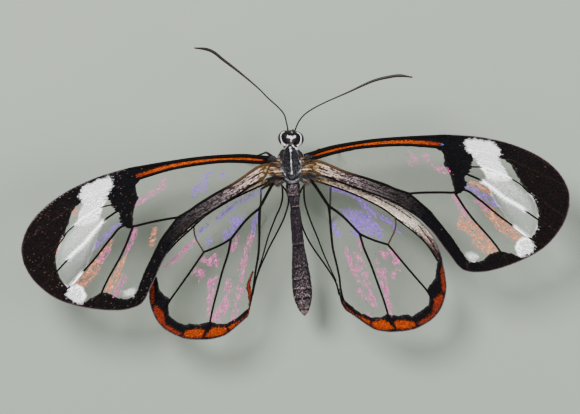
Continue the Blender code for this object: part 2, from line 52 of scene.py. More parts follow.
def smoothLine(points, step):  # a curve through the points, with a new one about every step
    points = np.asarray(points, float)
    padded = np.vstack([2 * points[0] - points[1], points, 2 * points[-1] - points[-2]])
    curve = [points[:1]]
    for i in range(1, len(padded) - 2):
        before, start, end, after = padded[i - 1 : i + 3]
        count = max(1, round(float(np.linalg.norm(end - start)) / step))
        t = ((np.arange(count) + 1) / count)[:, None]
        bend = (2 * before - 5 * start + 4 * end - after) * t**2
        twist = (3 * start - before - 3 * end + after) * t**3
        curve.append(0.5 * (2 * start + (end - before) * t + bend + twist))
    return np.vstack(curve)


def distanceToLine(points, line):  # shortest way from each point to a chain of points
    start = np.asarray(line, float)[:-1]
    run = np.asarray(line, float)[1:] - start
    offset = points[:, None, :] - start[None]
    share = (offset * run).sum(2) / np.maximum((run * run).sum(1), 1e-12)
    nearest = offset - run[None] * np.clip(share, 0, 1)[:, :, None]
    return np.sqrt((nearest**2).sum(2).min(1))


def depthInside(points, corners):  # millimetres inside a closed loop, negative outside it
    loop = np.asarray(corners, float)
    after = np.roll(loop, -1, axis=0)
    reach = distanceToLine(points, np.vstack([loop, loop[:1]]))
    y = points[:, 1:2]
    rise = after[:, 1] - loop[:, 1]
    rise = np.where(np.abs(rise) < 1e-9, 1e-9, rise)
    cross = loop[:, 0] + (y - loop[:, 1]) * (after[:, 0] - loop[:, 0]) / rise
    hits = ((loop[:, 1] > y) != (after[:, 1] > y)) & (points[:, 0:1] < cross)
    return np.where(hits.sum(1) % 2 == 1, reach, -reach)


def deepest(points, loops):
    return np.max([depthInside(points, loop) for loop in loops], axis=0)


def softStep(value, low, high):
    t = np.clip((value - low) / (high - low), 0, 1)
    return t * t * (3 - 2 * t)


def newShape(marks=()):  # an empty bmesh that carries the named values at its points
    shape = bmesh.new()
    for mark in marks:
        shape.verts.layers.float.new(mark)
    shape.loops.layers.uv.new("OFBake")
    return shape


# Bends a flat grid into a surface. place turns the grid's two runs, 0 to 1, into millimetres.
def addSheet(shape, columns, rows, place, marks=None):
    made = bmesh.ops.create_grid(shape, x_segments=columns, y_segments=rows, size=1.0)["verts"]
    runs = np.array([v.co[:2] for v in made]) * 0.5 + 0.5
    bake = shape.loops.layers.uv["OFBake"]
    for face in {f for v in made for f in v.link_faces}:
        for loop in face.loops:
            loop[bake].uv = (loop.vert.co.x * 0.5 + 0.5, loop.vert.co.y * 0.5 + 0.5)
    points = placeInRoom(place(runs[:, 0], runs[:, 1]))
    for vertex, point in zip(made, points):
        vertex.co = point
    for name, values in (marks(runs[:, 0], runs[:, 1]) if marks else {}).items():
        layer = shape.verts.layers.float[name]
        for vertex, value in zip(made, values):
            vertex[layer] = value


# A round tube along a path in millimetres, with a radius and marks for each point of the path.
def addTube(shape, path, radii, around, marks):
    path = np.asarray(path, float)
    radii = np.asarray(radii, float)
    path = np.vstack([path[:1], path, path[-1:]])
    radii = np.concatenate([[0], radii, [0]])
    heading = np.gradient(path[1:-1], axis=0)
    heading /= np.linalg.norm(heading, axis=1)[:, None]
    heading = np.vstack([heading[:1], heading, heading[-1:]])
    side = np.cross(heading, [0.0, 0.0, 1.0])
    side /= np.maximum(np.linalg.norm(side, axis=1), 1e-6)[:, None]
    upward = np.cross(side, heading)
    count = len(path)

    def place(s, t):
        i = np.rint(t * (count - 1)).astype(int)
        turn = 2 * np.pi * s
        ring = side[i] * np.cos(turn)[:, None] + upward[i] * np.sin(turn)[:, None]
        return path[i] + ring * radii[i][:, None]

    def values(s, t):
        i = np.clip(np.rint(t * (count - 1)).astype(int) - 1, 0, count - 3)
        return {name: np.asarray(v, float)[i] for name, v in marks.items()}

    addSheet(shape, around, count - 1, place, values)


def finishPiece(name, shape, material, replaces=()):
    bmesh.ops.remove_doubles(shape, verts=shape.verts, dist=1e-8)
    bmesh.ops.recalc_face_normals(shape, faces=shape.faces)
    mesh = bpy.data.meshes.new(name)
    shape.to_mesh(mesh)
    shape.free()
    return dressPiece(name, mesh, material, replaces)


def dressPiece(name, mesh, material, replaces=(), smooth=True):
    if smooth:
        mesh.shade_smooth()
    mesh.materials.append(material)
    piece = bpy.data.objects.new(name, mesh)
    bpy.context.scene.collection.objects.link(piece)
    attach(piece, "root")
    if replaces:
        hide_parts(*replaces)
    return piece


def hexColour(text):  # an sRGB hex colour as linear light
    parts = [int(text[i : i + 2], 16) / 255 for i in (1, 3, 5)]
    linear = [p / 12.92 if p <= 0.04045 else ((p + 0.055) / 1.055) ** 2.4 for p in parts]
    return (*linear, 1.0)


def addNode(tree, kind, sockets=None, **settings):
    node = tree.nodes.new("ShaderNode" + kind)
    for name, value in settings.items():
        setattr(node, name, value)
    for socket, value in (sockets or {}).items():
        if isinstance(value, bpy.types.NodeSocket):
            tree.links.new(value, node.inputs[socket])
        else:
            node.inputs[socket].default_value = value
    return node


def newMaterial(name, roughness, ior=1.5, **sockets):
    material = bpy.data.materials.new(name)
    material.use_nodes = True
    tree = material.node_tree
    shader = tree.nodes["Principled BSDF"]
    shader.inputs["Roughness"].default_value = roughness
    shader.inputs["IOR"].default_value = ior
    for socket, value in sockets.items():
        shader.inputs[socket.replace("_", " ")].default_value = value
    return material, tree, shader


# 1 where a depth mark is inside, with its edge roughened by a noise and softened over soft mm.
def edge(tree, depth, noise, rough, soft):
    wobble = addNode(tree, "Math", {0: noise, 1: -0.5}, operation="ADD").outputs[0]
    moved = addNode(tree, "Math", {0: wobble, 1: rough, 2: depth}, operation="MULTIPLY_ADD")
    spread = {"Value": moved.outputs[0], "From Min": -soft, "From Max": soft}
    return addNode(tree, "MapRange", spread).outputs[0]


# Lays colours one over another. Each layer is where it shows, 0 to 1, and its colour.
def layColours(tree, below, *layers):
    for share, above in layers:
        below = addNode(tree, "Mix", {0: share, 6: below, 7: above}, data_type="RGBA").outputs[2]
    return below


# A coat is its colour and how much it covers. This lays one more layer on it where share is 1.
def layOnCoat(tree, coat, share, colour, cover):
    thicker = addNode(tree, "Mix", {0: share, 2: coat[1], 3: cover}).outputs[0]
    return layColours(tree, coat[0], (share, colour)), thicker


def bakePlaces(s, t):  # two runs, 0 to 1, in the bake map with a rim left round them
    return np.stack([s * 0.96 + 0.02, t * 0.96 + 0.02], axis=1)


# Scales or hairs in one mesh: a small template set at every root, lying along its own way.
# Each keeps the marks of its root, and in OFBake a patch 0.003 across at its root's place.
def scatter(name, template, roots, ways, ups, lengths, widths, lifts, marks, bakes, material):
    corners, faces = template
    corners = np.asarray(corners, float)
    count, size = len(roots), len(corners)
    ways = ways / np.linalg.norm(ways, axis=1)[:, None]
    across = np.cross(ups, ways)
    across /= np.linalg.norm(across, axis=1)[:, None]
    ups = np.cross(ways, across)
    tilt, rise = np.cos(lifts)[:, None], np.sin(lifts)[:, None]
    ways, ups = ways * tilt + ups * rise, ups * tilt - ways * rise
    points = roots[:, None, :] + ways[:, None, :] * (corners[:, 0] * lengths[:, None])[:, :, None]
    points = points + across[:, None, :] * (corners[:, 1] * widths[:, None])[:, :, None]
    points = points + ups[:, None, :] * (corners[:, 2] * lengths[:, None])[:, :, None]
    points = placeInRoom(points.reshape(-1, 3))
    corner = np.concatenate([np.asarray(f) for f in faces])
    index = (corner[None] + (np.arange(count) * size)[:, None]).ravel()
    sizes = np.tile([len(f) for f in faces], count)
    starts = np.concatenate([[0], np.cumsum(sizes)[:-1]])
    mesh = bpy.data.meshes.new(name)
    mesh.vertices.add(count * size)
    mesh.vertices.foreach_set("co", points.ravel())
    mesh.loops.add(len(index))
    mesh.loops.foreach_set("vertex_index", index)
    mesh.polygons.add(len(sizes))
    mesh.polygons.foreach_set("loop_start", starts)
    mesh.polygons.foreach_set("loop_total", sizes)
    mesh.update(calc_edges=True)
    for key, values in marks.items():
        layer = mesh.attributes.new(key, "FLOAT", "POINT")
        layer.data.foreach_set("value", np.repeat(values, size))
    patch = bakes[:, None, :] + (corners[:, :2] * [1, 1] - [0.5, 0])[None] * 0.003
    bake = mesh.uv_layers.new(name="OFBake")
    bake.data.foreach_set("uv", patch.reshape(-1, 2)[index].ravel())
    return dressPiece(name, mesh, material, smooth=False)


tileTemplate = (  # one wing scale: a six-sided flake with its keel below
    [(0, 0, 0), (0.3, 0.5, 0.02), (0.85, 0.42, 0.03), (1, 0, 0.02), (0.85, -0.42, 0.03),
     (0.3, -0.5, 0.02), (0.5, 0, -0.1)],
    [(5, 4, 3, 2, 1, 0), (0, 1, 6), (1, 2, 6), (2, 3, 6), (3, 4, 6), (4, 5, 6), (5, 0, 6)],
)
hairTemplate = (  # one tuft of hair: three sides, bent once, drawn to a point
    [(0, -0.5, 0), (0, 0.5, 0), (0, 0, 0.1), (0.55, -0.3, 0.04), (0.55, 0.3, 0.04),
     (0.55, 0, 0.12), (1, 0, -0.02)],
    [(0, 1, 2), (1, 0, 3, 4), (2, 1, 4, 5), (0, 2, 5, 3), (4, 3, 6), (5, 4, 6), (3, 5, 6)],
)


# the wings: where each grows, its outline and veins, in its own millimetres along and across

wingPlaces = {
    "forewing_left": {"side": 1, "zero": (2.18, -0.40), "turn": 14.1, "root": -0.3,
                      "height": 6.25, "rise": 4.0, "fold": 0.0},
    "forewing_right": {"side": -1, "zero": (-1.72, -0.37), "turn": 10.85, "root": 0.1,
                       "height": 6.25, "rise": 4.0, "fold": 0.0},
    "hindwing_left": {"side": 1, "zero": (1.38, 1.36), "turn": 53.0, "root": 0.55,
                      "height": 5.05, "rise": 2.5, "fold": 0.07},
    "hindwing_right": {"side": -1, "zero": (-1.53, 1.56), "turn": 57.0, "root": 0.35,
                       "height": 5.05, "rise": 2.5, "fold": 0.0},
}
foldLine = [(0.0, 0.0), (3.8, 0.0), (8.15, -2.4), (13.3, -4.6), (24.0, -9.2)]

forewing = {
    "front": [(-0.4, 0.5), (0, 0.75), (1, 1.1), (2, 1.55), (3, 1.95), (5, 2.63), (7, 3.03), (9, 3.45),
              (11, 3.8), (13, 4.2), (15, 4.48), (17, 4.6), (18.5, 4.62), (20, 4.52), (21.75, 4.3),
              (23.5, 3.88), (25, 3.36), (26.5, 2.6), (27.75, 1.6), (28.6, 0.5), (29.05, -0.5),
              (29.22, -1.85)],
    "rear": [(-0.4, -0.8), (1, -1.1), (2, -1.5), (4, -2.05), (6, -2.45), (8, -2.95), (10, -3.65),
             (11.5, -4.2), (13, -5.0), (14, -5.75), (15, -6.65), (16, -7.75), (17, -8.8), (18, -9.8),
             (19, -10.2), (20.5, -10.1), (22, -9.65), (23.5, -8.98), (25, -8.15), (26.5, -7.1),
             (27.6, -5.95), (28.5, -4.5), (29, -3.2), (29.22, -1.85)],
    "thickness": 0.07,
    "veins": {  # landmarks, radius at the start and at the end, and how far it stays tan
        "costa": ([(-0.3, 0.45), (1, 1.02), (3, 1.85), (7, 2.95), (11, 3.72), (15, 4.36)], 0.17, 0.1, 0),
        "radius": ([(-0.2, 0.2), (1, 0.42), (3, 1.2), (5, 1.88), (7, 2.33), (9, 2.68), (11, 2.92),
                    (13, 2.98), (14.6, 3.0)], 0.15, 0.09, 0),
        "apex": ([(14.6, 3.0), (18.2, 3.1), (22.5, 2.6), (26, 1.2), (28.3, -0.9)], 0.03, 0.01, 0),
        "cubitus": ([(-0.2, -0.1), (1, 0.06), (2, -0.1), (3, -0.4), (4, -0.7), (5, -0.94), (7, -1.3),
                     (9, -1.75), (10, -2.06), (11.6, -2.4)], 0.12, 0.09, 6.5),
        "cellRear": ([(11.6, -2.4), (13, -2.15), (15, -1.9), (16.5, -1.75), (17.2, -1.4)], 0.08, 0.08, 0),
        "cellEnd": ([(14.6, 3.0), (15.5, 1.9), (16.3, 0.8), (16.6, -0.4), (16.7, -1.75)], 0.08, 0.07, 0),
        "rearCubitus": ([(11.6, -2.4), (13, -3.35), (14, -4.05), (15, -5.0), (16, -6.0), (17, -7.05),
                         (17.9, -8.15), (18.5, -9.0)], 0.09, 0.06, 0),
        "frontCubitus": ([(16.6, -1.75), (17.25, -2.55), (18, -3.45), (19, -4.5), (20, -5.4),
                          (21, -6.3), (21.75, -7.06), (22.5, -7.9)], 0.08, 0.06, 0),
        "rearMedial": ([(17.2, -1.3), (18.1, -1.45), (19, -2.0), (20, -2.62), (21, -3.3), (22, -3.94),
                        (23, -4.5), (24, -5.1), (25, -5.68), (26.2, -6.2)], 0.08, 0.05, 0),
        "middleMedial": ([(17.5, 0.45), (18.5, 0.17), (19.4, -0.14), (21, -1.05), (22, -1.7),
                          (23, -2.15), (24, -2.65), (25.25, -3.3), (26.4, -3.95)], 0.07, 0.05, 0),
        "frontMedial": ([(17.6, 1.2), (19.5, 1.35), (21.2, 0.95), (22.4, 0.5), (23, 0.25),
                         (23.75, -0.12), (24.5, -0.75), (26.5, -1.9)], 0.04, 0.04, 0),
        "anal": ([(0.2, -0.2), (1.3, -1.3), (3, -1.66), (4, -1.96), (7, -2.66), (10, -3.45),
                  (12.6, -4.65)], 0.09, 0.05, 2.5),
    },
}

hindwing = {
    "front": [(0.3, 0.75), (1.2, 1.6), (2.5, 2.75), (4, 3.85), (6, 5.05), (8, 6.0), (9.5, 6.55),
              (10.9, 6.88), (12, 7.07), (13, 7.15), (14, 7.08), (15, 6.88), (16, 6.56), (17, 6.08),
              (18, 5.56), (19, 4.93), (19.8, 4.1), (20.45, 3.1), (20.78, 2.06), (20.84, 1.2)],
    "rear": [(0.3, -0.8), (1.1, -2.05), (2, -2.6), (3, -3.1), (4, -3.6), (5.5, -3.98), (7, -4.13),
             (9, -4.2), (11, -4.38), (12, -4.68), (12.7, -5.05), (13.35, -5.32), (14.2, -5.42),
             (15, -5.15), (15.9, -4.88), (17.05, -4.52), (18, -4.08), (19, -3.15), (19.65, -2.25),
             (20.3, -1.13), (20.64, -0.2), (20.84, 1.2)],
    "thickness": 0.06,
    "veins": {
        "costal": ([(0.4, 0.35), (2, 1.45), (4, 2.75), (6, 3.85), (8, 4.75), (10, 5.28), (12, 5.83),
                    (14, 6.12), (16.1, 5.95)], 0.07, 0.05, 2.0),
        "stem": ([(0.1, 0.15), (1, 0.3), (3, 0.18), (3.95, 0.1)], 0.12, 0.1, 0),
        "cubitus": ([(3.95, 0.1), (5, 0.45), (6, 0.68), (7, 0.8), (8.5, 0.95)], 0.09, 0.08, 0),
        "cellRear": ([(8.5, 0.95), (9.3, 1.34), (10.3, 1.95), (11.35, 2.7)], 0.08, 0.07, 0),
        "crossVein": ([(11.35, 2.7), (11, 3.4), (10.6, 4.2), (10.1, 4.75), (9.6, 5.1)], 0.05, 0.04, 90),
        "medial": ([(11.35, 2.7), (14, 2.8), (16, 2.9), (17.8, 3.0), (18.8, 2.9)], 0.07, 0.06, 0),
        "frontCubitus": ([(8.5, 0.95), (10, 0.37), (12, -0.16), (14, -0.8), (16, -1.45), (17.2, -1.9),
                          (18.6, -2.45)], 0.08, 0.06, 0),
        "rearAnal": ([(3.95, 0.1), (5, -0.5), (6, -1.16), (7, -1.8), (8, -2.4), (10, -3.3),
                      (11, -3.8), (12, -4.4), (13.2, -4.95)], 0.08, 0.06, 0),
        "innerAnal": ([(0.3, 0.05), (0.5, -0.6), (2, -1.7), (4, -2.45), (6, -3), (8, -3.6), (10, -4.06),
                       (11.1, -4.3)], 0.06, 0.03, 0.9),
        "innerEdge": ([(0.4, -0.3), (0.8, -1.4), (1.6, -2.3), (3, -3.1), (4, -3.58), (5.5, -3.95),
                       (7, -4.1), (9, -4.18), (11, -4.38), (12.5, -4.98)], 0.05, 0.05, 0),
    },
}


def foldRear(flat, fold):  # draws the field behind the anal vein in towards that vein
    line = np.array(foldLine)
    veinAcross = np.interp(flat[:, 0], line[:, 0], line[:, 1])
    share = np.maximum(0, 1 - fold * np.maximum(0, flat[:, 0] - 1))
    across = np.where(flat[:, 1] < veinAcross, veinAcross + (flat[:, 1] - veinAcross) * share, flat[:, 1])
    return np.stack([flat[:, 0], across], axis=1)


def wingPoint(flat, place, lift=0.0):  # a wing's own flat points in space, on its mid surface
    flat = foldRear(np.asarray(flat, float), place["fold"])
    turn = math.radians(place["turn"])
    along = np.array([place["side"] * math.cos(turn), math.sin(turn)])
    across = np.array([place["side"] * math.sin(turn), -math.cos(turn)])
    ground = np.array(place["zero"]) + flat[:, :1] * along + flat[:, 1:] * across
    rise = math.tan(math.radians(place["rise"])) * flat[:, 0] - 0.003 * flat[:, 1] ** 2
    return np.column_stack([ground, place["height"] + rise + lift])


def wingEdges(wing, along):  # the front and rear edge at each distance along the wing
    front, rear = smoothLine(wing["front"], 0.15), smoothLine(wing["rear"], 0.15)
    return np.interp(along, front[:, 0], front[:, 1]), np.interp(along, rear[:, 0], rear[:, 1])


# the markings, as depths inside landmark loops

forewingMarks = {
    "costa": [(-1, 2.5), (5, 4.5), (12, 5.5), (20, 6), (20.5, 3.5), (17.3, 3.0), (14.0, 2.9), (13, 2.9),
              (11, 2.84), (9, 2.6), (7, 2.25), (5, 1.8), (3, 1.1), (2, 0.71), (1, 0.31), (0, 0), (-1, -0.2)],
    "bar": [(13.9, 3.0), (14.9, 2.4), (15.1, 1.75), (15.1, 1.06), (15.5, 0.6), (15.9, -0.1), (16.25, -0.7),
            (16.55, -1.5), (16.5, -1.9), (17.1, -1.75), (17.4, -1.4), (17.65, -0.7), (17.35, 0),
            (17.6, 0.4), (17.9, 1.06), (17.9, 1.6), (18.1, 2.2), (17.8, 2.7), (17.2, 3.3), (17, 3.9),
            (16, 4)],
    "apex": [(19.75, 4.45), (20.6, 3.8), (21.05, 3.06), (20.95, 2.65), (21.75, 2.4), (22.4, 1.85),
             (23, 1.1), (23.5, 0.4), (24, -0.3), (24.6, -0.9), (25.2, -1.4), (25.6, -2.0), (25.85, -2.7),
             (26.0, -3.6), (25.95, -4.4), (25.8, -5.2), (25.5, -5.65), (25.75, -6.2), (25.8, -6.8),
             (25.3, -7.45), (24.1, -7.95), (23.5, -7.7), (22.75, -7.65), (22.1, -7.55), (21.75, -7.75),
             (21.2, -8.1), (20.7, -8.6), (20.1, -9.0), (19.4, -9.1), (18.9, -9.0), (18.4, -8.65),
             (17.9, -8.1), (17.4, -7.5), (17, -7.0), (16, -6.0), (15, -5.0), (14, -4.0), (13.6, -3.75),
             (13.2, -4.6), (14, -7), (17.5, -11), (23, -12), (30, -8), (31, 0), (28, 4), (22, 6)],
    "rearBand": [(-1, 0.3), (0, 0.15), (1, 0.06), (2, -0.1), (3, -0.4), (4, -0.7), (5, -0.94), (7, -1.3),
                 (9, -1.75), (10, -2.06), (11.6, -2.4), (13, -3.3), (14, -4.0), (15, -5.0), (16, -6.0),
                 (17, -7.0), (17.9, -8.1), (18.4, -8.65), (17.5, -11), (12, -7.5), (6, -5), (0, -3),
                 (-2, -1)],
    "orange": [(0.45, 0.72), (1, 0.94), (2, 1.32), (3, 1.69), (5, 2.3), (7, 2.8), (9, 3.13), (11, 3.4),
               (13, 3.47), (14.3, 3.42), (14.3, 3.22), (13, 3.17), (11, 3.06), (9, 2.8), (7, 2.45),
               (5, 1.97), (3, 1.3), (2, 0.9), (1, 0.5), (0.45, 0.45)],
    "whiteBlock": [(17.0, 4.06), (17.4, 4.42), (18.3, 4.5), (19.6, 4.48), (20, 4.1), (20.5, 3.78),
                   (20.95, 3.4), (21.05, 3.05), (20.85, 2.7), (20.9, 2.35), (21.35, 1.8), (21.9, 1.05),
                   (22.7, 0.45), (22.2, -0.1), (21.0, -0.5), (19.9, 0.0), (19.7, 0.5), (19.3, 1.0),
                   (19, 1.45), (18.5, 1.8), (18.1, 2.2), (17.78, 2.7), (17.3, 3.06), (16.95, 3.7)],
    "milk": [(19.4, -0.15), (19.9, 0.2), (22.6, 0.55), (23.3, 0.15), (24.0, -0.4), (24.8, -1.1),
             (25.3, -1.8), (25.75, -2.8), (25.9, -3.8), (25.85, -4.6), (25.7, -5.3), (25.3, -5.65),
             (24.4, -5.3), (23.4, -4.7), (22.6, -4.0), (21.8, -3.0), (21.1, -2.1), (20.4, -1.1)],
    "endSpot": [(23.9, -6.4), (24.5, -5.75), (25.3, -5.85), (25.85, -6.5), (25.75, -7.1), (25, -7.75),
                (24.3, -7.9), (23.85, -7.2)],
    "softSpot": [(18.5, -8.5), (18.7, -8.2), (19.2, -8.05), (19.8, -8.2), (20.1, -8.6), (19.6, -8.95),
                 (18.9, -8.95)],
}
# painted reflections: the film's iridescent glints, drawn as fixed patches of colour
forewingGlints = {
    "right": {
        "peach": [[(19.4, -2.25), (20.3, -2.75), (21, -3.2), (22, -3.95), (23, -4.6), (24.3, -5.4),
                   (24.6, -5.9), (23.6, -6.15), (22.3, -5.35), (21, -4.6), (20.3, -3.8)],
                  [(17.2, -2.75), (18.2, -3.9), (19.2, -4.9), (20.2, -5.85), (21.3, -6.8), (22.0, -7.5),
                   (21.3, -8.05), (20.4, -7.85), (19.4, -7.2), (19.0, -6.4), (18.5, -5.9), (17.3, -5.2),
                   (17.3, -4.2), (17.9, -4.1)],
                  [(18.0, -0.35), (19.3, -0.5), (20.8, -1.3), (20.6, -1.6), (19.6, -1.2), (18.2, -0.75)],
                  [(23.9, -0.75), (24.6, -1.2), (25.3, -1.9), (25.0, -2.0), (24.3, -1.5)]],
        "pink": [[(13.9, 0.95), (14.6, 0.85), (15.4, 0.6), (15.8, 0.2), (15.6, 0.1), (15, 0.4),
                  (14.2, 0.65)],
                 [(11.3, 2.0), (11.5, 1.9), (12.2, 1.3), (12.05, 1.2)],
                 [(12.7, 2.0), (13.0, 1.95), (13.4, 1.5), (13.2, 1.45)],
                 [(11.2, 1.1), (11.5, 1.1), (11.4, 0.75)],
                 [(16.5, -1.95), (17.3, -2.8), (18.6, -4.15), (18.5, -4.35), (17.2, -3.1),
                  (16.45, -2.2)],
                 [(19.0, -2.05), (20.5, -2.95), (20.4, -3.2), (18.95, -2.3)]],
        "violet": [[(17.7, -0.85), (19.4, -1.5), (21.0, -2.1), (22.0, -2.7), (21.8, -2.85), (20.2, -2.15),
                    (18.2, -1.2)]],
    },
    "left": {
        "peach": [[(19.3, -2.45), (20.5, -3.1), (22, -4.05), (23.2, -4.9), (24.6, -5.6), (24.4, -6.0),
                   (23.5, -6.15), (22.4, -5.4), (21, -4.5), (20.1, -3.5)],
                  [(18.4, -4.3), (19.3, -5.15), (20.4, -6.15), (21.7, -7.3), (21.4, -7.9), (20.5, -7.4),
                   (19.6, -6.3), (19.0, -5.5)],
                  [(14.3, -2.8), (14.6, -2.8), (15.4, -4.3), (15.2, -4.4)],
                  [(24.0, -0.6), (24.7, -0.75), (25.6, -1.6), (25.3, -1.7), (24.5, -1.1)],
                  [(22.0, 1.95), (22.4, 1.75), (22.3, 1.55), (22.0, 1.7)]],
        "pink": [[(11.6, 2.05), (12.15, 2.0), (12.9, 1.1), (14.2, 0.95), (15.4, 0.6), (15.9, 0.2),
                  (15.6, 0.25), (13.2, 0.9), (12.0, 1.25)],
                 [(16.4, -1.9), (17.4, -2.95), (18.5, -4.2), (18.3, -4.3), (17.2, -3.2), (16.4, -2.3)],
                 [(19.0, -6.6), (19.6, -6.95), (20.9, -8.15), (20.7, -8.3), (19.6, -7.3)],
                 [(20.0, -3.2), (21.3, -4.1), (21.1, -4.3), (19.9, -3.4)]],
        "violet": [[(6.4, 1.3), (7.8, 0.85), (7.9, 0.65), (7.2, 0.7), (6.5, 1.1)],
                   [(8.3, 0.3), (8.9, 0.1), (9.3, -0.7), (9.1, -0.7), (8.7, -0.05)],
                   [(7.7, 0.15), (8.3, -0.5), (8.1, -0.5), (7.5, 0.0)],
                   [(5.3, 0.5), (5.7, 0.35), (5.5, 0.2)],
                   [(17.9, -0.9), (19.4, -1.5), (21.0, -2.2), (21.8, -2.8), (20.2, -2.2), (18.2, -1.2)]],
    },
}
hindwingMarks = {
    "border": [(15.4, 6.35), (16.1, 6.05), (16.9, 5.1), (17.5, 4.5), (17.7, 3.8), (17.8, 3.1), (18.6, 2.8),
               (19.3, 2.2), (19.4, 1.0), (19.2, 0), (18.6, -0.6), (18, -1.5), (17.4, -2.1), (17.2, -2.9),
               (16.6, -3.7), (15.8, -4.1), (15, -4.5), (14, -4.75), (13, -4.8), (12.3, -4.7),
               (11.2, -4.3), (11, -5), (13, -6.5), (18, -6), (22, -2), (22.5, 3), (20, 7), (17, 8),
               (15.5, 7.6)],
    "rust": [[(17.0, 6.0), (18.1, 5.4), (19.3, 4.6), (19.0, 4.3), (18.2, 4.7), (17.2, 5.4), (16.6, 5.95)],
             [(19.0, 4.15), (19.6, 3.9), (20.1, 3.2), (20.45, 2.5), (20.3, 2.1), (19.7, 2.35), (19.1, 3.0)],
             [(20.15, 2.2), (20.55, 2.1), (20.6, 1.1), (20.45, 0.1), (20.05, -0.1), (20.1, 1.0)]],
    "orange": [[(19.7, -0.2), (20.2, -0.35), (20.0, -1.0), (19.4, -1.95), (19.1, -2.2), (18.3, -2.0),
                (18.7, -1.1)],
               [(18.1, -2.35), (19.0, -2.4), (18.6, -3.1), (17.9, -3.85), (17.2, -4.15), (16.85, -3.85),
                (17.2, -3.2), (17.6, -2.6)],
               [(16.7, -3.9), (17.0, -4.25), (15.9, -4.7), (14.9, -4.98), (14.2, -5.3), (13.2, -5.2),
                (13.1, -5.05), (14.2, -5.0), (15.2, -4.75), (16.0, -4.3)]],
    "costalStrip": [(-1, 0.2), (0, 0.35), (1, 0.9), (2, 1.45), (4, 2.75), (6, 3.85), (7, 4.32), (8, 4.72),
                    (9, 4.95), (10, 5.25), (11, 5.5), (12, 5.8), (13, 6.0), (14, 6.1), (15.1, 6.1),
                    (16.1, 5.9), (17.2, 6.2), (17, 8), (12, 8.5), (6, 6.5), (0, 3.5), (-1, 1.5)],
}
